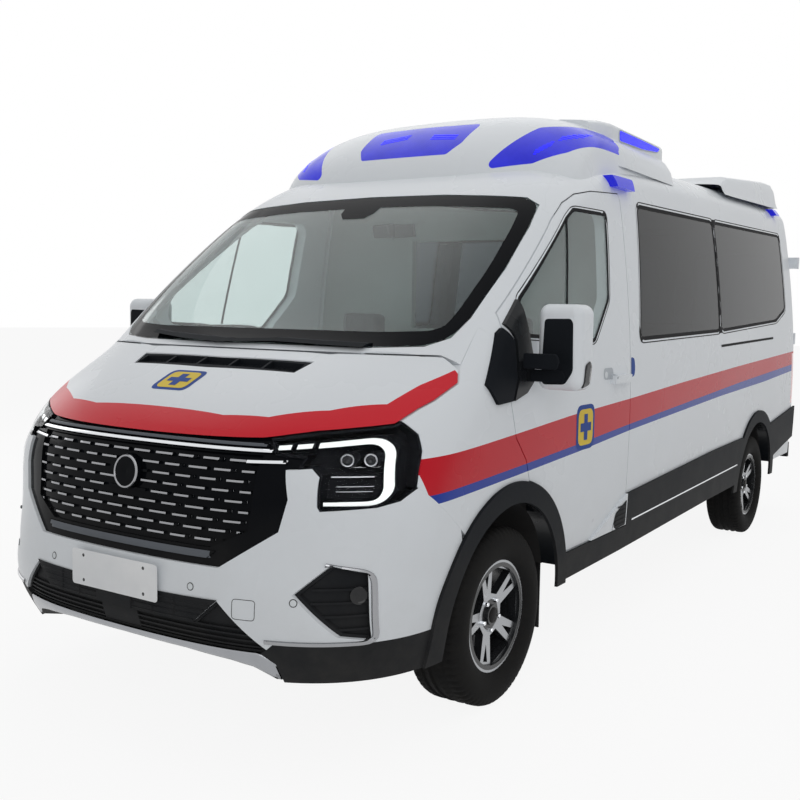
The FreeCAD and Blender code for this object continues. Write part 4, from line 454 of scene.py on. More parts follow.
def group_hood_band():
    """Mask for the band along the front and side edges of the hood."""
    group, start, end = new_group("hood_band", [("Vector", "NodeSocketVector", None)],
                                  [("Mask", "NodeSocketFloat")])
    place = axes(group, start.outputs["Vector"])
    outward = calculate(group, "ABSOLUTE", place["X"])
    points = [(x / 1000, (d - HALF_LENGTH) / 1000) for x, d in HOOD_BAND]
    edge = line_height(group, outward, points)
    group.links.new(calculate(group, "LESS_THAN", place["Y"], edge), end.inputs["Mask"])
    return group


groups = {}
finishes = {}


def shared(maker):
    """A shader group, made once."""
    if maker.__name__ not in groups:
        groups[maker.__name__] = maker()
    return groups[maker.__name__]


def place_group(tree, maker, inputs):
    """A shared group placed in a material's tree."""
    made = tree.nodes.new("ShaderNodeGroup")
    made.node_tree = shared(maker)
    return feed(tree, made, inputs)


def begin(name, **plain):
    """A new material with plain values on its shader, and the place on the vehicle as a coordinate."""
    finish = bpy.data.materials.new(name)
    finish.use_nodes = True
    tree = finish.node_tree
    shader = tree.nodes["Principled BSDF"]
    for label, value in plain.items():
        shader.inputs[label.replace("_", " ")].default_value = value
    place = put_node(tree, "ShaderNodeTexCoord").outputs["Object"]
    return finish, tree, shader, place


def blend_colours(tree, mask, first, second):
    """One colour over another by a mask."""
    return put_node(tree, "ShaderNodeMix", {0: mask, 6: first, 7: second}, data_type="RGBA").outputs[2]


def toned(colour, share, more=0.0):
    """A colour made darker or paler."""
    return tuple(min(1, c * share + more) for c in colour[:3]) + (1,)


def roughness_range(tree, mask, low, high):
    """A value between two ends that follows a mask."""
    return put_node(tree, "ShaderNodeMapRange", {"Value": mask, "To Min": low, "To Max": high}).outputs[0]


def bump(tree, shader, height, strength, distance):
    """Lets a height shade the surface as relief of some metres."""
    made = put_node(tree, "ShaderNodeBump", {"Height": height, "Strength": strength, "Distance": distance})
    tree.links.new(made.outputs[0], shader.inputs["Normal"])


# Paint nearer to an axle than this is the inside of a wheel arch, which is black
ARCH_REACH = 515
# Where a mirror's black arm ends and its painted shell begins, outwards
MIRROR_ARM_END = 1066.5
# A wheel's faces outside WHEEL_FACE are bright from the hub to the spokes' ends, and again on the rim's edge
WHEEL_FACE = 55
HUB_RADIUS, SPOKE_RADIUS, EDGE_RADIUS = 62, 192, 211

WHITE = (0.80, 0.835, 0.87, 1)
OTHER_WHITE = (0.785, 0.825, 0.86, 1)
RED = (0.56, 0.006, 0.018, 1)
HOOD_RED = (0.66, 0.016, 0.03, 1)
BLUE = (0.008, 0.04, 0.34, 1)
DUST = (0.30, 0.27, 0.23, 1)
PLASTIC_DUST = (0.16, 0.15, 0.135, 1)
TRIM_BLACK = (0.007, 0.0085, 0.011, 1)
ARM_BLACK = (0.012, 0.0135, 0.0155, 1)
UNDER_BLACK = (0.012, 0.012, 0.013, 1)
TYRE_BLACK = (0.009, 0.009, 0.010, 1)
TYRE_DUST = (0.024, 0.0235, 0.022, 1)
WHEEL_BLACK = (0.016, 0.017, 0.019, 1)
WHEEL_BRIGHT = (0.36, 0.37, 0.385, 1)


def from_axle(tree, place):
    """The distance from the nearer axle, seen from the side."""
    parts = axes(tree, place)
    gaps = [calculate(tree, "ABSOLUTE", calculate(tree, "SUBTRACT", parts["Y"], (axle - HALF_LENGTH) / 1000))
            for axle in (FRONT_AXLE, REAR_AXLE)]
    along = calculate(tree, "MINIMUM", *gaps)
    above = calculate(tree, "SUBTRACT", parts["Z"], HUB_HEIGHT / 1000)
    squares = [calculate(tree, "MULTIPLY", part, part) for part in (along, above)]
    return calculate(tree, "SQRT", calculate(tree, "ADD", *squares))


def painted(name, stripes=False, band=False, black_arm=False):
    """White body paint under clear coat, with the stripes, band or black arm where they run."""
    finish, tree, shader, place = begin(name, Coat_Weight=0.06, Coat_Roughness=0.04, Specular_IOR_Level=0.25,
                                        IOR=1.35)
    uneven = place_group(tree, group_uneven, {"Vector": place, "Broad": 1.5, "Fine": 260.0})
    paint = bpy.context.scene.ambulance_paint
    tone = blend_colours(tree, roughness_range(tree, uneven.outputs["Mask"], 0.0, 0.5), tuple(paint.white),
                         OTHER_WHITE)
    if stripes:
        masks = place_group(tree, group_stripes, {"Vector": place})
        facing = put_node(tree, "ShaderNodeTexCoord").outputs["Normal"]
        # positive on a wall's outer face, on both sides of the vehicle
        outwards = calculate(tree, "MULTIPLY", axes(tree, facing)["X"], axes(tree, place)["X"])
        outwards = calculate(tree, "GREATER_THAN", outwards, -0.1)
        red = calculate(tree, "MULTIPLY", masks.outputs["Red"], outwards)
        blue = calculate(tree, "MULTIPLY", masks.outputs["Blue"], outwards)
        tone = blend_colours(tree, red, tone, tuple(paint.red))
        tone = blend_colours(tree, blue, tone, tuple(paint.blue))
    if band:
        mask = place_group(tree, group_hood_band, {"Vector": place})
        tone = blend_colours(tree, mask.outputs["Mask"], tone, HOOD_RED)
    dust = place_group(tree, group_road_dust, {"Vector": place, "Top": 1.0, "Strength": 0.35})
    tone = blend_colours(tree, dust.outputs["Mask"], tone, DUST)
    if black_arm:
        outward = calculate(tree, "ABSOLUTE", axes(tree, place)["X"])
        on_arm = calculate(tree, "LESS_THAN", outward, MIRROR_ARM_END / 1000)
        tone = blend_colours(tree, on_arm, tone, ARM_BLACK)
    in_arch = calculate(tree, "LESS_THAN", from_axle(tree, place), ARCH_REACH / 1000)
    tone = blend_colours(tree, in_arch, tone, TRIM_BLACK)
    tree.links.new(tone, shader.inputs["Base Color"])
    tree.links.new(roughness_range(tree, uneven.outputs["Mask"], 0.22, 0.34), shader.inputs["Roughness"])
    bump(tree, shader, uneven.outputs["Height"], 0.006, 0.0006)
    return finish


def plastic(name, colour, rough, grain=0.25, fine=900.0, coat=0.0, gleam=0.25):
    """Moulded plastic with a fine grain."""
    finish, tree, shader, place = begin(name, Coat_Weight=coat, Coat_Roughness=0.05, Specular_IOR_Level=gleam,
                                        IOR=1.2)
    uneven = place_group(tree, group_uneven, {"Vector": place, "Broad": 3.0, "Fine": fine})
    dust = place_group(tree, group_road_dust, {"Vector": place, "Top": 0.9, "Strength": 0.45})
    light = toned(colour, 1.5, 0.004)
    tone = blend_colours(tree, uneven.outputs["Mask"], colour, light)
    tone = blend_colours(tree, dust.outputs["Mask"], tone, PLASTIC_DUST)
    tree.links.new(tone, shader.inputs["Base Color"])
    tree.links.new(roughness_range(tree, uneven.outputs["Mask"], rough - 0.06, rough + 0.08),
                   shader.inputs["Roughness"])
    bump(tree, shader, uneven.outputs["Height"], grain, 0.0006)
    return finish


def metal(name, colour, rough, coat=0.0):
    """Plated, machined or bare metal with faint marks."""
    finish, tree, shader, place = begin(name, Metallic=1.0, Coat_Weight=coat)
    uneven = place_group(tree, group_uneven, {"Vector": place, "Broad": 9.0, "Fine": 600.0})
    dark = toned(colour, 0.82)
    tree.links.new(blend_colours(tree, uneven.outputs["Mask"], colour, dark), shader.inputs["Base Color"])
    tree.links.new(roughness_range(tree, uneven.outputs["Mask"], rough * 0.7, rough * 1.4),
                   shader.inputs["Roughness"])
    bump(tree, shader, uneven.outputs["Height"], 0.05, 0.0005)
    return finish


def glass(name, colour, rough=0.02, bend=1.3):
    """Window glass with a faint film of dust."""
    finish, tree, shader, place = begin(name, Transmission_Weight=1.0, IOR=bend, Metallic=0.0)
    uneven = place_group(tree, group_uneven, {"Vector": place, "Broad": 2.5, "Fine": 300.0})
    dark = toned(colour, 0.9)
    tree.links.new(blend_colours(tree, uneven.outputs["Mask"], colour, dark), shader.inputs["Base Color"])
    tree.links.new(roughness_range(tree, uneven.outputs["Mask"], rough * 0.5, rough * 1.5),
                   shader.inputs["Roughness"])
    return finish


def lamp_lens(name, colour, glow, rough=0.12, gloss=1.0, gleam=0.5):
    """Ribbed coloured lens, with paler patches painted into its colour as the reflection off the reflector
    behind it.
    """
    finish, tree, shader, place = begin(name, Coat_Weight=gloss, Coat_Roughness=0.03, Emission_Strength=glow,
                                        Specular_IOR_Level=gleam)
    uneven = place_group(tree, group_uneven, {"Vector": place, "Broad": 6.0, "Fine": 200.0})
    # Paler tone in patches: painted reflection of the reflector behind the lens, also fed to the glow
    painted_reflector_glint = toned(colour, 1.6, 0.02)
    tone = blend_colours(tree, uneven.outputs["Mask"], colour, painted_reflector_glint)
    tree.links.new(tone, shader.inputs["Base Color"])
    tree.links.new(tone, shader.inputs["Emission Color"])
    tree.links.new(roughness_range(tree, uneven.outputs["Mask"], rough * 0.6, rough * 1.4),
                   shader.inputs["Roughness"])
    ribs = put_node(tree, "ShaderNodeTexWave", {"Vector": place, "Scale": 40.0, "Distortion": 0.0},
                    bands_direction="DIAGONAL")
    bump(tree, shader, ribs.outputs["Fac"], 0.12, 0.0015)
    return finish


def rubber(name, colour):
    """Tyre rubber, greyed by dust."""
    finish, tree, shader, place = begin(name, Specular_IOR_Level=0.2, IOR=1.2)
    uneven = place_group(tree, group_uneven, {"Vector": place, "Broad": 14.0, "Fine": 700.0})
    tree.links.new(blend_colours(tree, uneven.outputs["Mask"], colour, TYRE_DUST),
                   shader.inputs["Base Color"])
    tree.links.new(roughness_range(tree, uneven.outputs["Mask"], 0.6, 0.85), shader.inputs["Roughness"])
    bump(tree, shader, uneven.outputs["Height"], 0.3, 0.0008)
    return finish


def alloy():
    """Wheel: machined outer faces, black pockets and sides."""
    finish, tree, shader, place = begin("wheel_alloy")
    uneven = place_group(tree, group_uneven, {"Vector": place, "Broad": 20.0, "Fine": 900.0})
    outward = calculate(tree, "ABSOLUTE", axes(tree, place)["X"])
    facing = put_node(tree, "ShaderNodeTexCoord").outputs["Normal"]
    turn = calculate(tree, "ABSOLUTE", axes(tree, facing)["X"])
    outer = calculate(tree, "GREATER_THAN", outward, (HALF_TRACK + WHEEL_FACE) / 1000)
    flat = calculate(tree, "GREATER_THAN", turn, 0.8)
    radius = from_axle(tree, place)
    spokes = calculate(tree, "MULTIPLY", calculate(tree, "GREATER_THAN", radius, HUB_RADIUS / 1000),
                       calculate(tree, "LESS_THAN", radius, SPOKE_RADIUS / 1000))
    bright = calculate(tree, "ADD", spokes, calculate(tree, "GREATER_THAN", radius, EDGE_RADIUS / 1000))
    machined = calculate(tree, "MULTIPLY", calculate(tree, "MULTIPLY", outer, flat), bright)
    tree.links.new(blend_colours(tree, machined, WHEEL_BLACK, WHEEL_BRIGHT), shader.inputs["Base Color"])
    tree.links.new(machined, shader.inputs["Metallic"])
    tree.links.new(roughness_range(tree, uneven.outputs["Mask"], 0.2, 0.34), shader.inputs["Roughness"])
    bump(tree, shader, uneven.outputs["Height"], 0.06, 0.0005)
    return finish


def cloth(name, colour):
    """Woven seat cover."""
    finish, tree, shader, place = begin(name, Sheen_Weight=0.3)
    weave = put_node(tree, "ShaderNodeTexChecker", {"Vector": place, "Scale": 500.0, "Color1": colour,
                                                    "Color2": toned(colour, 0.6)})
    uneven = place_group(tree, group_uneven, {"Vector": place, "Broad": 6.0, "Fine": 500.0})
    tree.links.new(blend_colours(tree, uneven.outputs["Mask"], weave.outputs["Color"], colour),
                   shader.inputs["Base Color"])
    tree.links.new(roughness_range(tree, uneven.outputs["Mask"], 0.8, 0.95), shader.inputs["Roughness"])
    bump(tree, shader, weave.outputs["Fac"], 0.4, 0.001)
    return finish


def make_finishes():
    """Every finish of the vehicle, by name."""
    lamps = bpy.context.scene.ambulance_lamps
    finishes.update({
        "body": painted("body_paint"),
        "striped": painted("striped_paint", stripes=True),
        "hood": painted("hood_paint", band=True),
        "trim": plastic("grained_black_plastic", TRIM_BLACK, 0.5, 0.25, 900.0, 0.0, 0.15),
        "gloss": plastic("gloss_black_plastic", (0.002, 0.0026, 0.004, 1), 0.1, 0.0, 200.0, 0.0, 0.16),
        "seal": plastic("black_rubber_seal", (0.008, 0.008, 0.009, 1), 0.6, 0.1),
        "grey": plastic("grey_trim_plastic", (0.10, 0.11, 0.125, 1), 0.35, 0.05),
        "inside": plastic("pale_grey_cab_plastic", (0.36, 0.40, 0.39, 1), 0.55),
        "dark_inside": plastic("dark_grey_cab_plastic", (0.05, 0.055, 0.06, 1), 0.6),
        "under": plastic("underbody_coating", UNDER_BLACK, 0.8, 0.5, 300.0),
        "chrome": metal("bright_chrome", (0.82, 0.84, 0.87, 1), 0.10),
        "silver": metal("satin_silver", (0.36, 0.37, 0.39, 1), 0.28),
        "dark_chrome": metal("dark_chrome", (0.34, 0.345, 0.36, 1), 0.18),
        "mirror": metal("mirror_glass", (0.70, 0.73, 0.75, 1), 0.02),
        "mirror_shell": painted("mirror_shell_paint", black_arm=True),
        "badge_blue": plastic("badge_blue_film", (0.012, 0.05, 0.24, 1), 0.35, 0.03, 300.0),
        "badge_yellow": plastic("badge_yellow_film", (0.62, 0.46, 0.06, 1), 0.35, 0.03, 300.0),
        "dark_lens": plastic("smoked_lamp_lens", (0.01, 0.011, 0.013, 1), 0.08, 0.0, 200.0, 0.3, 0.5),
        "lamp_inside": plastic("black_lamp_housing", (0.006, 0.0065, 0.008, 1), 0.4, 0.03, 300.0, 0.0, 0.15),
        "shadow_and_rim_grey": plastic("handle_shadow_and_rim_grey", (0.42, 0.45, 0.48, 1), 0.35, 0.03, 300.0),
        # grey that is painted shadow behind the door handles, and also the strip lamps' rims
        "cast": metal("cast_metal", (0.20, 0.20, 0.21, 1), 0.5),
        "windshield": glass("windshield_glass", (0.74, 0.82, 0.81, 1)),
        "tinted": glass("tinted_glass", (0.04, 0.05, 0.058, 1), 0.02, 1.2),
        "clear_lens": glass("clear_lamp_lens", (0.95, 0.96, 0.97, 1), 0.01, 1.05),
        "blue_lens": lamp_lens("blue_lamp_lens", (0.006, 0.008, 0.42, 1), 0.4, 0.12, 0.12, 0.12),
        "blue_light": lamp_lens("blue_light_patch", (0.004, 0.004, 0.85, 1), lamps.blue_glow, 0.12, 0.1, 0.1),
        "red_lens": lamp_lens("red_lamp_lens", (0.42, 0.006, 0.01, 1), 0.1),
        "white_light": lamp_lens("white_light_bar", (0.78, 0.86, 0.80, 1), lamps.guide_glow, 0.2),
        "tyre": rubber("tyre_rubber", TYRE_BLACK),
        "alloy": alloy(),
        "cloth": cloth("seat_cloth", (0.07, 0.08, 0.09, 1)),
        "leather": plastic("wheel_leather", UNDER_BLACK, 0.45, 0.4, 500.0),
        "plate": plastic("blank_plate_white", (0.78, 0.81, 0.84, 1), 0.4, 0.03, 300.0, 0.1),
        "grey_white": plastic("sensor_white", (0.62, 0.65, 0.68, 1), 0.35, 0.03, 300.0),
        "paper": plastic("sheet_of_paper", (0.8, 0.82, 0.8, 1), 0.8, 0.05),
    })


NODE_FINISHES = {
    "striped": ["door_left", "door_right", "body_side_left", "body_side_right", "sliding_door",
                "front_fenders"],
    "body": ["cab_frame", "roof_panel", "front_bumper", "rear_door_left", "rear_door_right", "roof_pod",
             "rear_pod"],
    "mirror_shell": ["mirror_left", "mirror_right"],
    "hood": ["hood"],
    "clear_lens": ["headlamp_lenses"],
    "windshield": ["windshield", "door_glass_left", "door_glass_right"],
    "tinted": ["side_glass", "rear_glass_left", "rear_glass_right"],
    "gloss": ["grille"],
    "lamp_inside": ["headlamps"],
    "trim": ["lower_grille", "fog_bezels", "front_apron", "arch_trims", "lower_cladding", "fender_sails",
             "rear_bumper", "mud_flaps", "wipers", "hood_vent"],
    "silver": ["front_lip"],
    "red_lens": ["tail_lamps"],
    "blue_lens": ["blue_lamps", "side_lamps"],
    "under": ["rear_axle", "front_subframe", "wheelhouses", "chassis_floor", "tank_and_exhaust"],
    "cast": ["knuckle_left", "knuckle_right", "engine_block"],
    "inside": ["dashboard", "bulkhead"],
    "cloth": ["bench_and_cabinet"],
    "leather": ["steering_wheel"],
    "tyre": ["tyre_front_left", "tyre_front_right", "tyre_rear_left", "tyre_rear_right"],
    "alloy": ["rim_front_left", "rim_front_right", "rim_rear_left", "rim_rear_right"],
}


def dress_nodes():
    """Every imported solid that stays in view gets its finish."""
    for finish, names in NODE_FINISHES.items():
        for name in names:
            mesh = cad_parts[name].data
            mesh.materials.clear()
            mesh.materials.append(finishes[finish])
            mesh.shade_smooth()
            mesh.set_sharp_from_angle(angle=math.radians(28))


# Outlines in millimetres, on the vehicle's left half

WINDSHIELD_HALF = [(0, 1402), (600, 1402), (800, 1412), (868, 1445), (893, 1520), (905, 1715), (888, 1900),
                   (863, 2005),
                   (800, 2040), (400, 2066), (0, 2073)]
WINDSHIELD_BRACKET = [(-110, 2062), (110, 2062), (96, 1985), (60, 1958), (-60, 1958), (-96, 1985)]
# The grille's sunk field: height and half its width there
FIELD_HALF = [(742, 405), (808, 540), (1026, 556), (1056, 562)]
# Dashes on the field: rows, height of the lowest, rise to the next, spacing, half length and width
DASH_ROWS, DASH_FOOT, DASH_RISE, DASH_SPACING, DASH_HALF, DASH_WIDTH = 9, 766.5, 33.5, 108, 39, 8.4
# The grille's plain badge: its height, and what it keeps free of dashes beside and above its middle
BADGE_HEIGHT, BADGE_BESIDE, BADGE_ABOVE = 958, 80, 64
# The light guide's line: outwards, height and width
LAMP_GUIDE = [(724, 1097, 17), (874, 1115, 19), (913, 1086, 23), (938, 950, 23), (916, 913, 15),
              (778, 910, 13)]
LAMP_MARKS = [[(604, 1086), (644, 1090)], [(661, 1091), (706, 1096)]]
PROJECTORS = (817, 875)
PROJECTOR_HEIGHT = 1052
DOOR_WINDOW = [(1103, 1593), (1100, 1450), (1833, 1418), (2021, 1615), (2067, 2022), (1700, 2010),
               (1610, 1960)]
FRONT_PANE = [(2404, 1420), (3822, 1458), (3822, 2150), (2491, 2110)]
REAR_PANE = [(3842, 1458), (5300, 1528), (5614, 1620), (5614, 2205), (3842, 2150)]
SLIDING_PANE = [(2440, 1420), (3540, 1450), (3540, 2085), (2491, 2060)]
RIGHT_PANE = [(3760, 1456), (5300, 1528), (5614, 1620), (5614, 2205), (3760, 2148)]
REAR_WINDOW = [(150, 1440), (770, 1440), (735, 2080), (150, 2080)]


def whole(half):
    """A half outline and its mirror image as one closed outline."""
    return list(half) + [(-x, z) for x, z in reversed(half) if x]


def grown(outline, amount):
    """A closed outline of pairs moved outwards, or inwards for a negative amount."""
    return [(p.x, p.y) for p in inset([(a, b, 0) for a, b in outline], -amount)]


def soft(outline, radius):
    """A closed outline of pairs with its corners rounded."""
    return [(p.x, p.y) for p in rounded([(a, b, 0) for a, b in outline], radius)]


def frame_of(form, outline, outer, inner, radius, view, names, lift, side=1, count=140):
    """A band along a soft-cornered outline, from a distance outside it to a distance inside it."""
    line = soft(outline, radius)
    return band_on(form, grown(line, outer), grown(line, -inner), view, names, lift, side, count)


def ribbon(form, path, width, names, view="front", side=1, lift=0.6, crown=1.6, steps=0):
    """A crowned strip laid on the nodes along a flat path, of one width or of one for each point."""
    widths = width if isinstance(width, list) else [width] * len(path)
    points = [Vector((a, b, w)) for (a, b), w in zip(path, widths)]
    if steps:
        points = resampled(points, steps)
    rows = []
    for index, point in enumerate(points):
        before, after = points[max(index - 1, 0)], points[min(index + 1, len(points) - 1)]
        run = (after - before).xy.normalized()
        across = Vector((-run.y, run.x, 0)) * point.z / 2
        line = []
        for share, rise in ((-1, 0), (-0.8, crown * 0.8), (0, crown), (0.8, crown * 0.8), (1, 0)):
            spot = point + across * share
            line.append(on_nodes([(spot.x, spot.y)], view, names, lift + rise, side)[0])
        rows.append(line)
    return form.grid(rows)


# Pieces of the vehicle

class WM_PG_ambulance_paint(bpy.types.PropertyGroup):
    """Colours of the body and its stripes."""
    white: bpy.props.FloatVectorProperty(name="Body white", description="Colour of the body paint",
                                         subtype="COLOR",
                                         size=4, min=0, max=1, default=WHITE)
    red: bpy.props.FloatVectorProperty(name="Side red", description="Colour of the wide side stripe",
                                       subtype="COLOR",
                                       size=4, min=0, max=1, default=RED)
    blue: bpy.props.FloatVectorProperty(name="Side blue", description="Colour of the narrow side stripe",
                                        subtype="COLOR", size=4, min=0, max=1, default=BLUE)


class WM_PG_ambulance_tyres(bpy.types.PropertyGroup):
    """Sizes of the tyre tread."""
    groove: bpy.props.FloatProperty(name="Groove depth", description="Depth of the grooves in the tread",
                                    subtype="DISTANCE", unit="LENGTH", default=0.008, min=0.0, max=0.012)
    blocks: bpy.props.IntProperty(name="Tread blocks", description="Blocks round each shoulder", default=66,
                                  min=24,
                                  max=96)


class WM_PG_ambulance_lamps(bpy.types.PropertyGroup):
    """Brightness of the lamps."""
    guide_glow: bpy.props.FloatProperty(name="Light guide glow",
                                        description="Brightness of the daytime light guides",
                                        default=0.35, min=0.0, max=3.0)
    blue_glow: bpy.props.FloatProperty(name="Blue glow",
                                       description="Brightness of the blue lights' lit patches",
                                       default=0.9, min=0.0, max=4.0)


class WM_PG_ambulance_stage(bpy.types.PropertyGroup):
    """Camera and light of the stage."""
    lens: bpy.props.FloatProperty(name="Focal length", description="Focal length of the camera",
                                  subtype="DISTANCE_CAMERA",
                                  default=43.37, min=10, max=200)
    sky: bpy.props.FloatProperty(name="Surrounding light", description="Strength of the light from all round",
                                 default=0.38, min=0.0, max=2.0)
    top: bpy.props.FloatProperty(name="Overhead light", description="Power of the light over the roof",
                                 unit="POWER",
                                 default=150.0, min=0.0, max=2000.0)


class OBJECT_OT_ambulance_finishes(bpy.types.Operator):
    """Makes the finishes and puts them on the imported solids."""
    bl_idname = "object.ambulance_finishes"
    bl_label = "Paint and finishes"

    def execute(self, context):
        make_finishes()
        dress_nodes()
        return {"FINISHED"}


def windshield_trim():
    """Black border printed on the windshield, and the bracket at its top."""
    names = ("windshield",)
    border = Form()
    outline = soft(whole(WINDSHIELD_HALF), 60)
    band_on(border, grown(outline, -4), grown(outline, -58), "front", names, 0.8, count=220, across=3)
    patch_on(border, WINDSHIELD_BRACKET, "front", names, 0.9, step=30)
    piece("windshield_border", border, finishes["gloss"], "body")
    mirror = Form()
    mirror.lathe(at(0, 1640, 1960), Vector((0, 0.35, -1)).normalized(), [(0, 2), (0, 22), (60, 16), (75, 2)],
                 16)
    face = [at(-118, 1668, 1895), at(118, 1668, 1895), at(118, 1650, 1955), at(-118, 1650, 1955)]
    mirror.slab(face, Vector((0, 0.03, 0.008)))
    piece("cab_mirror", mirror, finishes["dark_inside"], "body", bevel=6)


class OBJECT_OT_ambulance_glazing(bpy.types.Operator):
    """Adds the window borders, rubber frames and dividers."""
    bl_idname = "object.ambulance_glazing"
    bl_label = "Window borders and frames"

    def execute(self, context):
        windshield_trim()
        for side, name in zip(SIDES, ("left", "right")):
            names = (f"door_glass_{name}", f"door_{name}")
            seal = frame_of(Form(), DOOR_WINDOW, 10, 16, 34, "side", names, 1.0, side)
            piece(f"door_window_frame_{name}", seal, finishes["seal"], f"front_door_{name}")
            rear = frame_of(Form(), [(x * side, z) for x, z in REAR_WINDOW], 12, 22, 60, "rear",
                            (f"rear_glass_{name}", f"rear_door_{name}"), 1.0)
            piece(f"rear_window_frame_{name}", rear, finishes["gloss"], f"rear_door_{name}")
        left = Form()
        names = ("side_glass", "body_side_left")
        for pane in (FRONT_PANE, REAR_PANE):
            frame_of(left, pane, 14, 20, 46, "side", names, 1.0)
        patch_on(left, [(3806, 1452), (3858, 1454), (3858, 2158), (3806, 2156)], "side", names, 1.4, step=60)
        piece("side_window_frames_left", left, finishes["seal"], "body")
        right = Form()
        frame_of(right, SLIDING_PANE, 14, 20, 46, "side", ("side_glass", "sliding_door"), 1.0, -1)
        frame_of(right, RIGHT_PANE, 14, 20, 46, "side", ("side_glass", "body_side_right"), 1.0, -1)
        piece("side_window_frames_right", right, finishes["seal"], "body")
        return {"FINISHED"}


def bent(path, radius, steps=5):
    """An open line with its inner corners rounded."""
    points = [Vector(point) for point in path]
    result = [points[0]]
    for before, corner, after in zip(points, points[1:], points[2:]):
        start = corner + (before - corner).normalized() * min(radius, (before - corner).length / 2.1)
        end = corner + (after - corner).normalized() * min(radius, (after - corner).length / 2.1)
        for k in range(steps + 1):
            t = k / steps
            result.append(start * (1 - t) ** 2 + corner * 2 * t * (1 - t) + end * t ** 2)
    return result + [points[-1]]


def half_field_width(height):
    """Half the width of the grille's sunk field at a height."""
    for (low, a), (high, b) in zip(FIELD_HALF, FIELD_HALF[1:]):
        if low <= height <= high:
            return a + (b - a) * (height - low) / (high - low)
    return FIELD_HALF[0][1]


class OBJECT_OT_ambulance_grille(bpy.types.Operator):
    """Adds the bright faces of the grille's dashes and strips, and the plain badge."""
    bl_idname = "object.ambulance_grille"
    bl_label = "Grille brightwork"

    def execute(self, context):
        names = ("grille",)
        dashes = Form()
        for row in range(DASH_ROWS):
            height = DASH_FOOT + DASH_RISE * row
            edge = half_field_width(height) - 8
            count = 10 + row % 2
            for index in range(count):
                middle = (index - (count - 1) / 2) * DASH_SPACING
                start, end = max(middle - DASH_HALF, -edge), min(middle + DASH_HALF, edge)
                behind_badge = abs(middle) < BADGE_BESIDE and abs(height - BADGE_HEIGHT) < BADGE_ABOVE
                if end - start < 14 or behind_badge:
                    continue
                path = [(start + (end - start) * k / 4, height) for k in range(5)]
                ribbon(dashes, path, DASH_WIDTH, names, crown=1.8)
        piece("grille_dashes", dashes, finishes["dark_chrome"], "body")
        strips = Form()
        spread = [k / 30 for k in range(-30, 31)]
        ribbon(strips, [(590 * k, 1071.5) for k in spread], 10, names, crown=2.0)
        for side in SIDES:
            ribbon(strips, [(side * (516 + 130 * k / 8), 1035.5 + 4 * k / 8) for k in range(9)], 10, names,
                   crown=1.8)
        piece("grille_chrome_strips", strips, finishes["chrome"], "body")
        upper = Form()
        ribbon(upper, [(564 * k, 1088.5) for k in spread], 10, names, crown=1.4)
        ribbon(upper, [(414 * k, 721) for k in spread], 24, names, crown=1.6)
        piece("grille_grey_strips", upper, finishes["grey"], "body")
        badge = Form()
        centre, out = meet(names, at(0, -500, BADGE_HEIGHT), BACK, 0)
        badge.lathe(centre, out, [(0.5, 1), (2.5, 30), (2, 50), (4.5, 53), (4.5, 58), (0.5, 60)], 48)
        piece("grille_badge", badge, finishes["gloss"], "body")
        ring = Form()
        ring.lathe(centre, out, [(2, 51), (5.2, 53), (5.6, 55.5), (5.2, 58), (1, 60)], 48)
        piece("grille_badge_ring", ring, finishes["dark_chrome"], "body")
        return {"FINISHED"}


class OBJECT_OT_ambulance_headlamps(bpy.types.Operator):
    """Adds the lit faces, projectors and bright parts inside the headlamps."""
    bl_idname = "object.ambulance_headlamps"
    bl_label = "Headlamp insides"

    def execute(self, context):
        lens = ("headlamp_lenses",)
        lit = Form()
        guide = bent(LAMP_GUIDE, 26)
        ribbon(lit, [(p.x, p.y) for p in guide], [p.z for p in guide], lens, lift=-8.6, crown=1.5, steps=70)
        for mark in LAMP_MARKS:
            ribbon(lit, mark, 15, lens, lift=-8.6, crown=1.2, steps=5)
        piece("light_guides", lit.both(), finishes["white_light"], "body")
        rings, balls, bars = Form(), Form(), Form()
        for x in PROJECTORS:
            centre, out = meet(lens, at(x, -500, PROJECTOR_HEIGHT), BACK, -9)
            rings.lathe(centre, out, [(0.5, 17), (2.5, 17.5), (3, 20), (2.2, 22.5), (0.4, 23.5)], 36)
            balls.lathe(centre, out, [(0.6, 17), (3, 14), (5, 9), (5.8, 1)], 28)
        ribbon(bars, [(790, 1000), (896, 1000)], 5, lens, lift=-8.4, crown=1.0, steps=8)
        for height in (1023, 962, 946):
            ribbon(bars, [(790, height), (880, height)], 3, ("headlamps",), lift=0.6, crown=1.2, steps=8)
        piece("projector_rings", rings.both(), finishes["dark_chrome"], "body")
        piece("projector_lenses", balls.both(), finishes["dark_lens"], "body")
        piece("reflector_bars", bars.both(), finishes["dark_chrome"], "body")
        return {"FINISHED"}


# The silver strip at the bumper's foot: its lower edge, its top, and where the top starts to fall outwards
LIP_FOOT = [(0, 384), (300, 380), (480, 366), (560, 350), (600, 322), (640, 292)]
LIP_TOP, LIP_BEND, LIP_FALL = 407, 598, 0.88
CORNER_STRIP = [(792, 712), (892, 689), (908, 668), (918, 468), (904, 452), (626, 455)]
# The lower intake: half its width, and how many steps its panel takes over that
INTAKE_HALF, INTAKE_STEPS = 466, 40


def height_on(line, x):
    """The height of a bent line at a distance from the middle."""
    for (a, low), (b, high) in zip(line, line[1:]):
        if a <= x <= b:
            return low + (high - low) * (x - a) / (b - a)
    return line[-1][1]


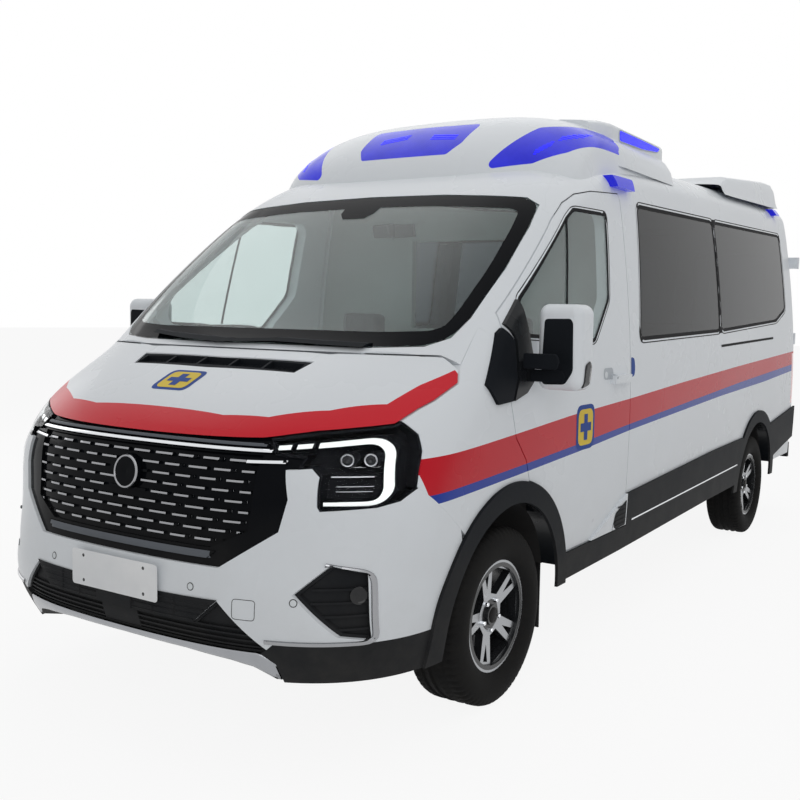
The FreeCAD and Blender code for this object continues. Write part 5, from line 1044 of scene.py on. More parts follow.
def make_lip():
    """Silver strip along the foot of the bumper, black pan behind it, and bright corner strips."""
    names = ("front_lip",)
    strip, pan = Form(), Form()
    rows, under = [], []
    for k in range(-40, 41):
        x = 15.9 * k
        foot = height_on(LIP_FOOT, abs(x))
        top = LIP_TOP - max(abs(x) - LIP_BEND, 0) * LIP_FALL
        heights = [top + (foot - top) * share for share in (0, 0.15, 0.5, 0.85, 1)]
        line = [from_front(names, x, height, rise) for height, rise in zip(heights, (-2, -0.3, 0, -0.3, -2))]
        rows.append(line)
        last = line[-1]
        under.append([last, last + Vector((0, 0.012, -0.004)), last + Vector((0, 0.09, -0.026)),
                      last + Vector((0, 0.26, -0.05))])
    strip.grid(rows)
    pan.grid(under)
    lip = piece("skid_strip", strip, finishes["silver"], "body", thickness=1.6)
    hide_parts("front_lip")
    piece("skid_pan", pan, finishes["trim"], "body", thickness=2)
    bright = Form()
    line = bent([(x, z, 0) for x, z in CORNER_STRIP], 22)
    ribbon(bright, [(p.x, p.y) for p in line], 14, ("front_bumper", "front_apron"), lift=1.0, crown=6,
           steps=60)
    piece("corner_strips", bright.both(), finishes["dark_chrome"], "body")


def make_intake():
    """Black upper part of the lower intake and its slats."""
    names = ("front_bumper", "lower_grille")
    across = [INTAKE_HALF * k / INTAKE_STEPS for k in range(-INTAKE_STEPS, INTAKE_STEPS + 1)]
    fronts = [min(from_front(names, x, height).y for height in (500, 520, 540, 560, 575)) for x in across]
    fronts = [min(fronts[max(k - 1, 0):k + 2]) for k in range(len(fronts))]

    def laid(x, height, rise):
        """A point on the panel, standing out by some millimetres."""
        place = min(max((x + INTAKE_HALF) / INTAKE_HALF * INTAKE_STEPS, 0), 2 * INTAKE_STEPS - 0.001)
        k = int(place)
        front = fronts[k] + (fronts[k + 1] - fronts[k]) * (place - k)
        return Vector((x / 1000, front - rise / 1000, height / 1000))

    panel = Form()
    rows = []
    for x in across:
        foot = 494 + max(abs(x) - 372, 0) * 0.9
        rows.append([laid(x, foot + (574 + abs(x) / 90 - foot) * part, 1.5) for part in (0, 0.5, 1)])
    panel.grid(rows)
    piece("intake_upper", panel, finishes["trim"], "body")
    slats = Form()
    for height, reach in ((502, 372), (521, 394), (540, 414), (559, 436)):
        slats.grid([[laid(reach * k / 30, height + drop, rise) for drop,
                     rise in ((-3.5, 1.5), (0, 6), (3.5, 1.5))]
                    for k in range(-30, 31)])
    for x in (-290, -190, 190, 290):
        slats.grid([[laid(x + aside, height, rise) for aside, rise in ((-2.5, 1.5), (0, 5), (2.5, 1.5))]
                    for height in (497, 530, 570)])
    slats.grid([[laid(x, height, rise) for x, rise in ((-91, 1.5), (-88, 8), (0, 8), (88, 8), (91, 1.5))]
                for height in (495, 520, 540)])
    piece("intake_slats", slats, finishes["trim"], "body")
    fog = Form()
    point, out = meet(("fog_bezels",), at(862, -500, 606), BACK, 4)
    fog.lathe(point, out, [(-4, 30), (8, 30), (10, 27), (7, 22), (8, 12), (9, 1)], 32)
    piece("fog_lamps", fog.both(), finishes["dark_lens"], "body")


class OBJECT_OT_ambulance_bumper(bpy.types.Operator):
    """Adds the blank plate, round sensors, tow cover and fog lamp parts."""
    bl_idname = "object.ambulance_bumper"
    bl_label = "Bumper fittings"

    def execute(self, context):
        make_lip()
        make_intake()
        names = ("front_bumper", "grille", "lower_grille")
        plate = Form()
        corners = soft([(-212, 538), (228, 538), (228, 668), (-212, 668)], 14)
        near = min(from_front(names, x, 600).y for x in (-200, 0, 220)) - 0.011
        flat = [Vector((a / 1000, near, b / 1000)) for a, b in corners]
        plate.slab(flat, Vector((0, -0.0025, 0)))
        piece("blank_plate", plate, finishes["plate"], "body", bevel=0.8)
        holder = Form()
        for x, z in ((-150, 648), (160, 648), (-150, 558), (160, 558)):
            centre = Vector((x / 1000, near - 0.0025, z / 1000))
            holder.lathe(centre, -BACK, [(0.1, 1), (0.4, 5), (-0.2, 6.5)], 16)
        piece("plate_holes", holder, finishes["seal"], "body")
        studs = Form()
        for x in (-170, 0, 180):
            for z in (560, 646):
                back_point = from_front(names, x, z)
                studs.tube([Vector((back_point.x, near + 0.001, back_point.z)), back_point + BACK * 0.004], 7,
                           12)
        piece("plate_studs", studs, finishes["seal"], "body")
        sensors, rims = Form(), Form()
        for x, z in ((355, 610), (715, 590)):
            for side in SIDES:
                point, normal = meet(("front_bumper",), at(x * side, -500, z), BACK, 0)
                sensors.lathe(point, normal, [(0.4, 0.5), (1.6, 9), (0.8, 11)], 24)
                rims.lathe(point, normal, [(0.2, 10.6), (1.2, 11.2), (1.2, 13), (0.1, 13.8)], 24)
        piece("parking_sensors", sensors, finishes["grey_white"], "body")
        piece("sensor_rims", rims, finishes["seal"], "body")
        cover = Form()
        square = soft([(520, 524), (598, 524), (598, 590), (520, 590)], 12)
        band_on(cover, grown(square, 1.2), grown(square, -0.8), "front", ("front_bumper",), 0.5, count=60,
                across=1)
        piece("tow_cover_seam", cover, finishes["seal"], "body")
        return {"FINISHED"}


# Half of a tyre's section from its bead to its middle: outwards, radius, and how the tyre is cut there
TYRE_HALF = [(70, 212, "plain"), (96, 222, "plain"), (112, 246, "plain"), (118, 276, "ringed"),
             (117, 300, "plain"),
             (112, 322, "plain"), (104, 338, "shoulder"), (96, 346, "shoulder"), (84, 350.5, "shoulder"),
             (72, 351.5, "shoulder"), (56, 352, "rib"), (52, 352, "groove"), (48, 352, "groove"),
             (22, 352.6, "rib"), (19, 352.6, "plain"), (15, 352.6, "groove")]
# Steps round the tyre for each shoulder block
BLOCK_STEPS = 4


def tyre_form(axle, side, groove, blocks):
    """A tyre with three grooves round it, shoulder blocks and a ringed sidewall."""
    section = [(-across, radius, cut) for across, radius, cut in TYRE_HALF] + TYRE_HALF[::-1]
    # each cut comes back after some steps, starts at one of them and has a depth in millimetres
    cuts = {"plain": (1, 0, 0.0), "groove": (1, 0, groove * 1000), "shoulder": (BLOCK_STEPS, 0, groove * 700),
            "rib": (BLOCK_STEPS, 2, groove * 400), "ringed": (2, 1, 0.8)}
    centre = at(HALF_TRACK * side, axle, HUB_HEIGHT)
    rows = []
    steps = blocks * BLOCK_STEPS
    for k in range(steps):
        turn = 2 * math.pi * k / steps
        ring = []
        for across, radius, cut in section:
            every, first, depth = cuts[cut]
            size = (radius - (depth if k % every == first else 0.0)) / 1000
            ring.append(centre + Vector((across / 1000, math.sin(turn) * size, math.cos(turn) * size)))
        rows.append(ring)
    rows.append(rows[0])
    return Form().grid(rows)


WHEELS = [("front_left", FRONT_AXLE, 1), ("front_right", FRONT_AXLE, -1), ("rear_left", REAR_AXLE, 1),
          ("rear_right", REAR_AXLE, -1)]
# Radius of the circle on which a wheel's nuts stand
NUT_CIRCLE = 62


class OBJECT_OT_ambulance_wheels(bpy.types.Operator):
    """Adds the treaded tyres, lug nuts, caps and brake discs."""
    bl_idname = "object.ambulance_wheels"
    bl_label = "Tyres and wheel fittings"

    def execute(self, context):
        sizes = context.scene.ambulance_tyres
        for name, axle, side in WHEELS:
            tyre = piece(f"treaded_tyre_{name}", tyre_form(axle, side, sizes.groove, sizes.blocks),
                         finishes["tyre"],
                         f"wheel_{name}", smooth=50)
            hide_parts(f"tyre_{name}")
            centre = at(HALF_TRACK * side, axle, HUB_HEIGHT)
            out = ACROSS * side
            rim = (f"rim_{name}",)
            nuts, cap = Form(), Form()
            for k in range(5):
                turn = 2 * math.pi * (k + 0.5) / 5
                spot = centre + (BACK * math.sin(turn) + UP * math.cos(turn)) * (NUT_CIRCLE / 1000)
                point, _ = meet(rim, spot + out * 0.5, -out, 0)
                nuts.lathe(point, out, [(-4, 10), (10, 10), (13, 8), (14, 1)], 6)
            piece(f"lug_nuts_{name}", nuts, finishes["chrome"], f"wheel_{name}", bevel=0.6)
            point, _ = meet(rim, centre + out * 0.5, -out, 0)
            cap.lathe(point, out, [(-6, 31), (1.5, 31), (4, 28), (5.5, 16), (6, 1)], 32)
            piece(f"hub_cap_{name}", cap, finishes["gloss"], f"wheel_{name}")
            disc = Form()
            disc.lathe(centre, out, [(-8, 60), (4, 60), (4, 150), (-8, 150), (-8, 60)], 48)
            piece(f"brake_disc_{name}", disc, finishes["cast"], f"wheel_{name}", bevel=0.8)
        return {"FINISHED"}


MIRROR_RECESS = [(1098, 1272), (1097, 1375), (1104, 1523), (1212, 1525), (1222, 1510), (1226, 1325),
                 (1195, 1276)]


class OBJECT_OT_ambulance_mirrors(bpy.types.Operator):
    """Adds the mirrors' dark faces, glasses and side lamps."""
    bl_idname = "object.ambulance_mirrors"
    bl_label = "Mirrors"

    def execute(self, context):
        for side, name in zip(SIDES, ("left", "right")):
            names = (f"mirror_{name}",)
            door = f"front_door_{name}"
            dark = Form()
            patch_on(dark, soft([(x * side, z) for x, z in MIRROR_RECESS], 16), "front", names, 0.9, step=16)
            piece(f"mirror_recess_{name}", dark, finishes["trim"], door)
            arms = Form()
            for low, high in ((1282, 1328), (1334, 1392)):
                outline = [(1050, low), (1188, low), (1200, (low + high) / 2), (1188, high), (1050, high)]
                front = [from_front(names, min(x, 1180) * side, z, 2) for x, z in outline]
                near = min(point.y for point in front)
                flat = [Vector((x * side / 1000, near - 0.004, z / 1000)) for x, z in soft(outline, 10)]
                arms.slab(flat, Vector((0, 0.012, 0)))
            piece(f"mirror_arm_{name}", arms, finishes["trim"], door, bevel=3)
            glasses = Form()
            for low, high in ((1352, 1556), (1272, 1340)):
                outline = soft([(x * side, z) for x,
                                z in ((1088, low), (1236, low), (1236, high), (1088, high))], 18)
                patch_on(glasses, outline, "rear", names, 1.0, step=40)
            piece(f"mirror_glass_{name}", glasses, finishes["mirror"], door)
            lamp = Form()
            shape = soft([(1150, 1262), (1205, 1275), (1222, 1345), (1205, 1366), (1165, 1350)], 10)
            patch_on(lamp, shape, "side", names, 2.5, side, step=18)
            piece(f"mirror_side_lamp_{name}", lamp, finishes["dark_lens"], door, thickness=3)
        return {"FINISHED"}


def badge(name, centre, width, height, view, names, side, body):
    """A plain rounded square with a plus on a yellow field."""
    a, b = centre
    for part, share, finish, lift in (("rim", 1.0, "badge_blue", 0.6), ("field", 0.8, "badge_yellow", 1.3)):
        form = Form()
        w, h = width / 2 * share, height / 2 * share
        outline = soft([(a - w, b - h), (a + w, b - h), (a + w, b + h), (a - w, b + h)], min(w, h) * 0.5)
        patch_on(form, outline, view, names, lift, side, step=24)
        piece(f"{name}_{part}", form, finishes[finish], body)
    plus = Form()
    # the plus: half its spread and half its arms' width, across and up
    w, h, t, u = width * 0.29, height * 0.29, width * 0.095, height * 0.095
    outline = [(-t, -h), (t, -h), (t, -u), (w, -u), (w, u), (t, u), (t, h), (-t, h), (-t, u), (-w, u),
               (-w, -u),
               (-t, -u)]
    patch_on(plus, [(a + x, b + y) for x, y in outline], view, names, 2.2, side, step=24)
    piece(f"{name}_plus", plus, finishes["badge_blue"], body)


def seam(form, path, names, view="side", side=1, width=4.5, reach=9, sink=2.5):
    """A dark rubber line sunk in the gap between two panels."""
    points = resampled([Vector((a, b, 0)) for a, b in path], max(4, int(len(path) * 8)))
    rows = []
    for index, point in enumerate(points):
        before, after = points[max(index - 1, 0)], points[min(index + 1, len(points) - 1)]
        run = (after - before).normalized()
        across = Vector((-run.y, run.x, 0))
        spots = [point - across * reach, point + across * reach]
        low, high = on_nodes([(p.x, p.y) for p in spots], view, names, -sink, side)
        middle = (low + high) / 2
        half = (high - low) * (width / reach / 4)
        rows.append([middle - half, middle + half])
    return form.grid(rows)


class OBJECT_OT_ambulance_sides(bpy.types.Operator):
    """Adds badges, the fuel tag, cladding details, seams and rails of the sides."""
    bl_idname = "object.ambulance_sides"
    bl_label = "Side details"

    def execute(self, context):
        badge("hood_badge", (-45, 345), 190, 130, "above", ("hood",), 1, "hood")
        for side, name in zip(SIDES, ("left", "right")):
            badge(f"door_badge_{name}", (1722, 1047), 200, 200, "side", (f"door_{name}",), side,
                  f"front_door_{name}")
            lock = Form()
            point, out = meet((f"door_{name}",), at(1500 * side, 1955, 1268), -ACROSS * side, 0)
            lock.lathe(point, out, [(0.2, 16), (2.5, 15), (3, 12), (2, 6), (2, 1)], 24)
            piece(f"door_lock_{name}", lock, finishes["grey_white"], f"front_door_{name}")
            # A grey patch behind the door handle: painted shadow cast by the handle on the white door
            shadow_and_rim_grey = Form()
            patch_on(shadow_and_rim_grey, soft([(1925, 1246), (2040, 1246), (2040, 1300), (1925, 1300)], 26), "side",
                     (f"door_{name}",), 0.8, side, step=16)
            piece(f"door_handle_shadow_{name}", shadow_and_rim_grey, finishes["shadow_and_rim_grey"], f"front_door_{name}")
            bars = Form()
            ribbon(bars, [(1522, 1452), (1622, 1998)], 15, (f"door_glass_{name}",), "side", side, 0.8, 2.5,
                   20)
            piece(f"door_quarter_bar_{name}", bars, finishes["seal"], f"front_door_{name}")
            line = Form()
            ribbon(line, [(2334, 524), (4380, 566)], 9, ("lower_cladding",), "side", side, 0.6, 2.5, 60)
            piece(f"cladding_bright_line_{name}", line, finishes["chrome"], "body")
            scoop = Form()
            outline = soft([(2080, 510), (2250, 514), (2250, 640), (2110, 592)], 14)
            patch_on(scoop, outline, "side", ("lower_cladding", f"door_{name}"), 1.5, side, step=40)
            for k in range(5):
                ribbon(scoop, [(2100 + 8 * k, 528 + 22 * k), (2238, 528 + 22 * k)], 7,
                       ("lower_cladding", f"door_{name}"), "side", side, 1.6, 3.5, 8)
            piece(f"door_step_grip_{name}", scoop, finishes["trim"], f"front_door_{name}")
        tag = Form()
        patch_on(tag, soft([(2274, 1240), (2320, 1252), (2328, 1290), (2320, 1334), (2274, 1344)], 16),
                 "side",
                 ("body_side_left",), 0.8, 1, step=20)
        piece("fuel_tag", tag, finishes["badge_blue"], "body")
        rail = Form()
        ribbon(rail, [(3830, 1371), (5182, 1408)], 16, ("body_side_left",), "side", 1, 0.5, 1.0, 40)
        ribbon(rail, [(3700, 1368), (5560, 1412)], 26, ("body_side_right",), "side", -1, 0.5, 3.0, 60)
        piece("side_rails", rail, finishes["seal"], "body")
        seams = Form()
        seam(seams, [(2268, 520), (2268, 2098), (2252, 2136), (1930, 2111), (1768, 2080), (1640, 2028),
                     (1506, 1944)],
             ("door_left", "body_side_left", "roof_panel"))
        seam(seams, [(2342, 720), (2342, 2100), (2398, 2153), (3643, 2188), (3643, 720)],
             ("sliding_door", "body_side_right"), "side", -1)
        seam(seams, [(2268, 520), (2268, 2098), (2252, 2136), (1930, 2111), (1768, 2080)],
             ("door_right", "body_side_right", "roof_panel"), "side", -1)
        piece("panel_seams", seams, finishes["seal"], "body")
        handle = Form()
        point, out = meet(("sliding_door",), at(-1500, 2480, 1215), ACROSS, 0)
        handle.tube(bent([point, point + out * 0.03, point + out * 0.03 + BACK * 0.17, point + BACK * 0.17],
                         0.012), 11)
        piece("sliding_door_handle", handle, finishes["grey_white"], "body")
        return {"FINISHED"}


class OBJECT_OT_ambulance_vent(bpy.types.Operator):
    """Adds the mesh over the cells of the hood vent."""
    bl_idname = "object.ambulance_vent"
    bl_label = "Hood vent mesh"

    def execute(self, context):
        mesh = Form()
        for cell in range(-2, 3):
            for k in range(9):
                x = cell * 170 - 68 + 17 * k
                start = from_above(("hood_vent",), x, 478, 2.5)
                end = from_above(("hood_vent",), x, 520, 2.5)
                mesh.bar(start, end, 3, 2, UP)
            for k in range(4):
                spots = [from_above(("hood_vent",), cell * 170 + x, 480 + 12 * k, 3) for x in (-74, 0, 74)]
                mesh.bar(spots[0], spots[1], 3, 2, UP)
                mesh.bar(spots[1], spots[2], 3, 2, UP)
        piece("hood_vent_mesh", mesh, finishes["trim"], "hood")
        return {"FINISHED"}


class OBJECT_OT_ambulance_cab(bpy.types.Operator):
    """Adds the sheet on the dashboard, the instrument cowl and the screen."""
    bl_idname = "object.ambulance_cab"
    bl_label = "Cab details"

    def execute(self, context):
        names = ("dashboard",)
        sheet = Form()
        rows = []
        for i in range(9):
            x = -215 + 30 * i
            rows.append([from_above(names, x, 850 + 14 * j, 2 + 1.5 * math.sin(i * 0.7 + j * 0.4))
                         for j in range(7)])
        sheet.grid(rows)
        piece("dashboard_sheet", sheet, finishes["paper"], "body", thickness=0.4)
        cowl = Form()
        rows = []
        for i in range(13):
            turn = math.pi * i / 12
            x = 400 + 190 * math.cos(turn)
            rise = 52 * math.sin(turn) ** 0.6 + 2
            rows.append([from_above(names, x, d, 0) + UP * rise * share / 1000
                         for d, share in ((1020, 0.1), (1075, 0.7), (1160, 1.0), (1235, 1.0))])
        cowl.grid(rows)
        piece("instrument_cowl", cowl, finishes["dark_inside"], "body", thickness=4)
        screen = Form()
        base = from_above(names, 0, 1180, 0)
        shape = [base + Vector((x / 1000, 0.004, z / 1000)) for x,
                 z in ((-125, -10), (125, -10), (125, 120), (-125, 120))]
        screen.slab(shape, Vector((0, 0.022, 0)))
        piece("cab_screen", screen, finishes["gloss"], "body", bevel=5)
        return {"FINISHED"}


# Levels of a pad from its foot to its crown, and the share of its outline at each; the dip is the sewn seam
PAD_LEVELS = [(-1.0, 0.01), (-1.0, 0.7), (-0.96, 0.84), (-0.8, 0.95), (-0.45, 1.0), (0.2, 0.985),
              (0.55, 0.98), (0.74, 0.95),
              (0.84, 0.9), (0.86, 0.87), (0.8, 0.855), (0.88, 0.84), (0.93, 0.76), (0.96, 0.66), (0.975, 0.6),
              (0.98, 0.54),
              (0.99, 0.4), (1.0, 0.2), (1.0, 0.01)]


# How round a pad's corners are, and how far its sides pull in between them
PAD_SQUARE, PAD_PULL = 0.36, 0.018
# The sewn channels, as shares of the pad: place aside, half width, depth, and the level above which they run
CHANNEL_PLACE, CHANNEL_WIDTH, CHANNEL_DEPTH, CHANNEL_LEVEL = 0.56, 0.05, 0.09, 0.87


def pad_form(centre, across, deep, thick):
    """A crowned pad round a centre, its sides pulled in, with two sewn channels along it."""
    form = Form()
    rows = []
    for level, share in PAD_LEVELS:
        row = []
        for k in range(72):
            turn = 2 * math.pi * k / 72
            pull = 1 - PAD_PULL * (1 + math.cos(4 * turn)) / 2
            a = math.copysign(abs(math.cos(turn)) ** PAD_SQUARE, math.cos(turn)) * share * pull
            b = math.copysign(abs(math.sin(turn)) ** PAD_SQUARE, math.sin(turn)) * share * pull
            dip = CHANNEL_DEPTH * math.exp(-((abs(a) - CHANNEL_PLACE) / CHANNEL_WIDTH) ** 2)
            channel = dip if level > CHANNEL_LEVEL else 0.0
            row.append(centre + across * a + deep * b + thick * (level - channel))
        rows.append(row)
    return form.grid(rows, closed=True)


class OBJECT_OT_ambulance_seats(bpy.types.Operator):
    """Adds the padded cab seats with their feet and headrest posts."""
    bl_idname = "object.ambulance_seats"
    bl_label = "Cab seats"

    def execute(self, context):
        feet, posts = Form(), Form()
        for side, name in zip(SIDES, ("left", "right")):
            x = 450 * side
            pads = {"seat_cushion": pad_form(at(x, 1803, 806), ACROSS * 0.245, BACK * 0.238, UP * 0.072),
                    "seat_back": pad_form(at(x, 2044, 1052), ACROSS * 0.243, UP * 0.315, -BACK * 0.06),
                    "headrest": pad_form(at(x, 2040, 1450), ACROSS * 0.123, UP * 0.078, -BACK * 0.043)}
            for label, form in pads.items():
                piece(f"{label}_{name}", form, finishes["cloth"], "body", smooth=60)
            feet.bar(at(x, 1640, 672), at(x, 1960, 672), 360, 60, UP)
            feet.bar(at(x, 1625, 612), at(x, 1985, 612), 380, 26, UP)
            feet.bar(at(x, 1660, 636), at(x, 1940, 636), 320, 40, UP)
            for aside in (-55, 55):
                posts.tube([at(x + aside, 2042, 1340), at(x + aside, 2042, 1400)], 6, 12)
        base = piece("seat_feet", feet, finishes["dark_inside"], "body", bevel=6)
        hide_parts("cab_seats")
        piece("headrest_posts", posts, finishes["dark_chrome"], "body")
        return {"FINISHED"}


# The rear pod: its ridge as distance and height, and half its section as outwards and share of its height
REAR_POD_TOP = [(4250, 2436), (4420, 2508), (5450, 2606), (5620, 2610), (5672, 2590), (5698, 2556),
                (5704, 2470)]
REAR_POD_SECTION = [(862, -0.04), (848, 0.25), (834, 0.74), (818, 0.9), (780, 0.98), (640, 1.0), (320, 1.03),
                    (0, 1.04)]


def make_rear_pod():
    """The low pod at the roof's rear, its sides leaning in from the roof to a soft edge."""
    pod = Form()
    rows = []
    for distance, top in REAR_POD_TOP:
        half = []
        for x, share in REAR_POD_SECTION:
            foot = from_above(("roof_panel",), min(x, 850), min(distance, 5690)).z * 1000 - 4
            half.append(at(x, distance, foot + max(top - foot, 4) * share))
        rows.append(half + [Vector((-point.x, point.y, point.z)) for point in reversed(half[:-1])])
    pod.grid(rows)
    pod.add(rows[-1], [list(range(len(rows[-1])))])
    cover = piece("rear_pod_cover", pod, finishes["body"], "body", smooth=30)
    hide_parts("rear_pod")


class OBJECT_OT_ambulance_rear(bpy.types.Operator):
    """Adds the plate, handle and lamps' divisions of the rear."""
    bl_idname = "object.ambulance_rear"
    bl_label = "Rear details"

    def execute(self, context):
        plate = Form()
        flat = soft([(-560, 760), (-120, 760), (-120, 900), (-560, 900)], 14)
        patch_on(plate, flat, "rear", ("rear_door_right", "rear_door_left"), 3, step=60)
        piece("rear_blank_plate", plate, finishes["plate"], "rear_door_right", thickness=2)
        handle = Form()
        for z in (1180, 1340):
            point, out = meet(("rear_door_right",), at(-90, 7000, z), -BACK, 0)
            handle.lathe(point, out, [(0, 14), (26, 12), (30, 1)], 20)
        low, out = meet(("rear_door_right",), at(-90, 7000, 1165), -BACK, 28)
        high, _ = meet(("rear_door_right",), at(-90, 7000, 1355), -BACK, 28)
        handle.tube([low, (low + high) / 2 + out * 0.006, high], 12, 12)
        piece("rear_door_handle", handle, finishes["trim"], "rear_door_right")
        for side, name in zip(SIDES, ("left", "right")):
            bars = Form()
            for z in (1000, 1080, 1160):
                ribbon(bars, [(902 * side, z), (1000 * side, z)], 6, ("tail_lamps",), "rear", 1, 0.5, 2.0, 6)
            piece(f"tail_lamp_bars_{name}", bars, finishes["gloss"], "body")
            white = Form()
            patch_on(white, [(905 * side, 1088), (985 * side, 1088), (985 * side, 1152), (905 * side, 1152)],
                     "rear",
                     ("tail_lamps",), 0.9, step=30)
            piece(f"reversing_lamp_{name}", white, finishes["grey_white"], "body")
        make_rear_pod()
        return {"FINISHED"}


# Rows of lit dots in the front blue lamps: ends outwards and upwards, and how many
LIT_ROWS = [((-200, 2392), (-50, 2414), 10), ((95, 2400), (245, 2388), 10), ((680, 2278), (728, 2336), 5),
            ((738, 2360), (800, 2400), 5), ((-680, 2278), (-728, 2336), 5), ((-738, 2360), (-800, 2400), 5)]
# The fairing beside the roof pod: its section outwards and upwards, its length, and its strip lamp
FAIRING_FACE = 789
FAIRING_SECTION = [(868, 2290), (846, 2368), (812, 2420), (789, 2438), (789, 2500), (779, 2516), (740, 2528),
                   (620, 2540),
                   (560, 2536), (530, 2500), (530, 2300)]
FAIRING_LENGTH = [(2300, 0.93), (2400, 0.985), (2470, 1.0), (3180, 1.0), (3222, 0.995), (3236, 0.985)]
STRIP_LAMP = [(2562, 2447), (2556, 2496), (2900, 2497), (3150, 2494), (3120, 2474), (2900, 2455)]


class OBJECT_OT_ambulance_lights(bpy.types.Operator):
    """Adds the lit patches of the blue lamps."""
    bl_idname = "object.ambulance_lights"
    bl_label = "Blue light patches"

    def execute(self, context):
        names = ("blue_lamps",)
        dots = Form()
        for start, end, count in LIT_ROWS:
            for row in (-1, 0, 1):
                for k in range(count):
                    part = (k + 0.5) / count
                    x = start[0] + (end[0] - start[0]) * part
                    z = start[1] + (end[1] - start[1]) * part + row * 11
                    ribbon(dots, [(x - 5.5, z), (x + 5.5, z)], 6, names, lift=0.5, crown=1.5, steps=3)
        piece("blue_light_dots", dots, finishes["blue_light"], "body")
        fairing = Form()
        rows = []
        for distance, swell in FAIRING_LENGTH:
            rows.append([at(x * swell, distance, 2330 + (z - 2330) * swell) for x, z in FAIRING_SECTION])
        fairing.grid(rows)
        for end in (rows[0], rows[-1]):
            fairing.add(end, [list(range(len(end)))])
        piece("pod_fairings", fairing.both(), finishes["body"], "body", bevel=6)
        strip, rim = Form(), Form()
        outline = rounded([Vector((d, z, 0)) for d, z in STRIP_LAMP], 12)
        strip.slab([at(FAIRING_FACE + 1, point.x, point.y) for point in outline], ACROSS * 0.006)
        wider = grown([(point.x, point.y) for point in outline], 7)
        rim.slab([at(FAIRING_FACE, spot[0], spot[1]) for spot in wider], ACROSS * 0.004)
        piece("strip_lamps", strip.both(), finishes["blue_light"], "body", bevel=2)
        piece("strip_lamp_rims", rim.both(), finishes["shadow_and_rim_grey"], "body", bevel=1)
        return {"FINISHED"}


# The stage, in metres: the camera's place and picture shift, and in degrees its turn, downward look and roll
CAMERA_PLACE = (2.7366, -5.2055, 1.53)
CAMERA_SHIFT = (-0.0719, 0.0035)
CAMERA_ANGLES = (31.207, 5.198, 1.189)
FLOOR_REACH = 60
# Lights: place, target, width and height, and for those at the sides a name before and a power after
TOP_LIGHT = ((0, 0.5, 6.2), (0, 0, 0), 12, 9)
SIDE_LIGHTS = [("front_left", (5.5, -7.5, 4.2), (0, -1.2, 1.2), 5, 4, 110),
               ("right_side", (-8, -2, 3.6), (0, 0, 1.3), 6, 3, 50)]


class OBJECT_OT_ambulance_stage(bpy.types.Operator):
    """Adds the floor, the lights and the camera."""
    bl_idname = "object.ambulance_stage"
    bl_label = "Stage"

    def execute(self, context):
        settings = context.scene.ambulance_stage
        scene = context.scene
        floor = bpy.data.meshes.new("floor")
        far = FLOOR_REACH
        floor.from_pydata([(-far, -far, 0), (far, -far, 0), (far, far, 0), (-far, far, 0)], [],
                          [(0, 1, 2, 3)])
        floor.materials.append(floor_finish())
        ground = bpy.data.objects.new("floor", floor)
        scene.collection.objects.link(ground)
        surroundings(settings.sky)
        area_light("overhead", *TOP_LIGHT, settings.top)
        for light in SIDE_LIGHTS:
            area_light(*light)
        camera = bpy.data.cameras.new("camera")
        camera.lens = settings.lens
        camera.sensor_width = 36
        camera.shift_x, camera.shift_y = CAMERA_SHIFT
        camera.clip_end = 200
        view = bpy.data.objects.new("camera", camera)
        turn, down, roll = (math.radians(angle) for angle in CAMERA_ANGLES)
        ahead = Vector((-math.sin(turn) * math.cos(down), math.cos(turn) * math.cos(down), -math.sin(down)))
        right = Vector((math.cos(turn), math.sin(turn), 0))
        over = right.cross(ahead)
        leaned = right * math.cos(roll) + over * math.sin(roll)
        upward = over * math.cos(roll) - right * math.sin(roll)
        pose = Matrix((leaned, upward, -ahead)).transposed().to_4x4()
        pose.translation = CAMERA_PLACE
        view.matrix_world = pose
        scene.collection.objects.link(view)
        scene.camera = view
        scene.view_settings.view_transform = "Standard"
        return {"FINISHED"}


def background_share(tree):
    """One for rays that see the background, from the camera, a gloss or a glass."""
    path = put_node(tree, "ShaderNodeLightPath")
    total = calculate(tree, "ADD", path.outputs["Is Camera Ray"], path.outputs["Is Glossy Ray"])
    total = calculate(tree, "ADD", total, path.outputs["Is Transmission Ray"])
    return calculate(tree, "MINIMUM", total, 1.0)


def floor_finish():
    """Pale floor that stays light behind the vehicle and still shows its shadow."""
    finish = bpy.data.materials.new("pale_floor")
    finish.use_nodes = True
    tree = finish.node_tree
    shader = tree.nodes["Principled BSDF"]
    place = put_node(tree, "ShaderNodeTexCoord").outputs["Object"]
    grain = put_node(tree, "ShaderNodeTexNoise", {"Vector": place, "Scale": 3.0, "Detail": 3.0})
    tone = blend_colours(tree, grain.outputs[0], (0.86, 0.86, 0.86, 1), (0.9, 0.9, 0.9, 1))
    tree.links.new(tone, shader.inputs["Base Color"])
    shader.inputs["Roughness"].default_value = 0.9
    glow = put_node(tree, "ShaderNodeEmission", {"Color": (1, 1, 1, 1), "Strength": 1.0})
    share = calculate(tree, "MULTIPLY", background_share(tree), 0.9)
    mixed = put_node(tree, "ShaderNodeMixShader", {0: share})
    tree.links.new(shader.outputs[0], mixed.inputs[1])
    tree.links.new(glow.outputs[0], mixed.inputs[2])
    tree.links.new(mixed.outputs[0], tree.nodes["Material Output"].inputs["Surface"])
    return finish


def surroundings(strength):
    """Pale light from all round, with a white background for the camera, gloss and glass."""
    world = bpy.data.worlds.new("surroundings")
    world.use_nodes = True
    tree = world.node_tree
    light = tree.nodes["Background"]
    light.inputs["Color"].default_value = (1, 1, 1, 1)
    share = background_share(tree)
    power = put_node(tree, "ShaderNodeMapRange", {"Value": share, "To Min": strength, "To Max": 1.0})
    tree.links.new(power.outputs[0], light.inputs["Strength"])
    bpy.context.scene.world = world


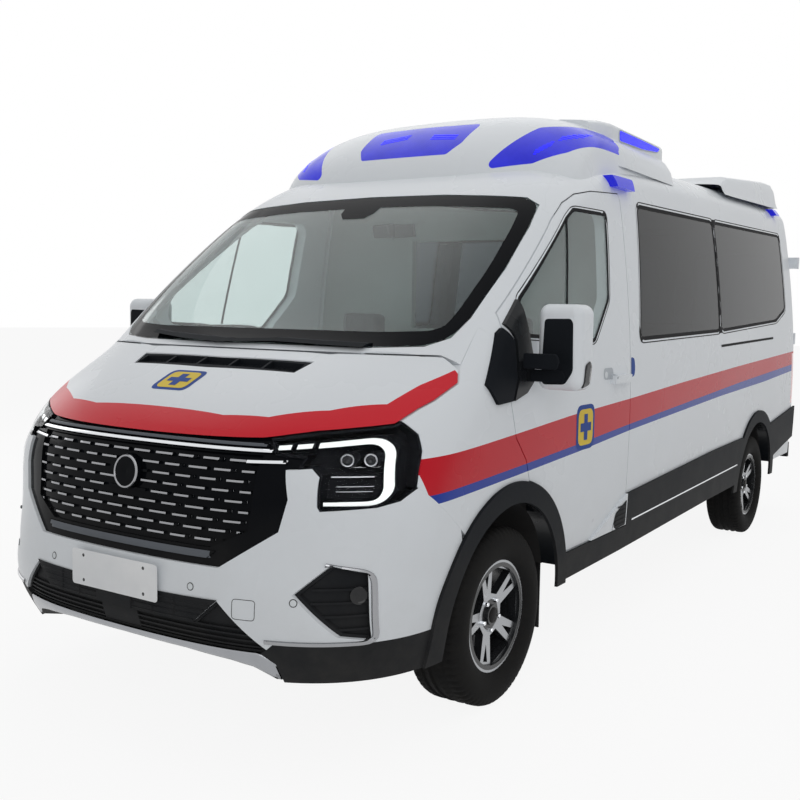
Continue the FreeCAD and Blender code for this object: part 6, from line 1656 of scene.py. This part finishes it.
def area_light(name, place, target, width, height, power):
    """A soft rectangular light that faces a point."""
    lamp = bpy.data.lights.new(name, "AREA")
    lamp.shape = "RECTANGLE"
    lamp.size, lamp.size_y = width, height
    lamp.energy = power
    thing = bpy.data.objects.new(name, lamp)
    thing.location = place
    thing.rotation_euler = (Vector(target) - Vector(place)).to_track_quat("-Z", "Y").to_euler()
    bpy.context.scene.collection.objects.link(thing)


OPERATORS = (OBJECT_OT_ambulance_finishes, OBJECT_OT_ambulance_glazing, OBJECT_OT_ambulance_grille,
             OBJECT_OT_ambulance_headlamps, OBJECT_OT_ambulance_bumper, OBJECT_OT_ambulance_wheels,
             OBJECT_OT_ambulance_lights, OBJECT_OT_ambulance_mirrors, OBJECT_OT_ambulance_sides,
             OBJECT_OT_ambulance_vent, OBJECT_OT_ambulance_cab, OBJECT_OT_ambulance_seats,
             OBJECT_OT_ambulance_rear,
             OBJECT_OT_ambulance_stage)
GROUPS = {"ambulance_paint": WM_PG_ambulance_paint, "ambulance_tyres": WM_PG_ambulance_tyres,
          "ambulance_lamps": WM_PG_ambulance_lamps, "ambulance_stage": WM_PG_ambulance_stage}


class VIEW3D_PT_ambulance(bpy.types.Panel):
    """Sizes, colours and pieces of the ambulance."""
    bl_idname = "VIEW3D_PT_ambulance"
    bl_label = "Ambulance"
    bl_space_type = "VIEW_3D"
    bl_region_type = "UI"
    bl_category = "Ambulance"

    def draw(self, context):
        for name, group in GROUPS.items():
            box = self.layout.box()
            for label in group.__annotations__:
                box.prop(getattr(context.scene, name), label)
        for operator in OPERATORS:
            self.layout.operator(operator.bl_idname)


def register():
    """Adds the settings, the operators and the panel."""
    for group in GROUPS.values():
        bpy.utils.register_class(group)
    for name, group in GROUPS.items():
        setattr(bpy.types.Scene, name, bpy.props.PointerProperty(type=group))
    for kind in OPERATORS + (VIEW3D_PT_ambulance,):
        bpy.utils.register_class(kind)


def unregister():
    """Takes them out again."""
    for kind in reversed(OPERATORS + (VIEW3D_PT_ambulance,)):
        bpy.utils.unregister_class(kind)
    for name in GROUPS:
        delattr(bpy.types.Scene, name)
    for group in reversed(list(GROUPS.values())):
        bpy.utils.unregister_class(group)


def main():
    """Builds every piece in order."""
    register()
    for operator in OPERATORS:
        group, name = operator.bl_idname.split(".")
        getattr(getattr(bpy.ops, group), name)()


if __name__ == "__main__":
    main()
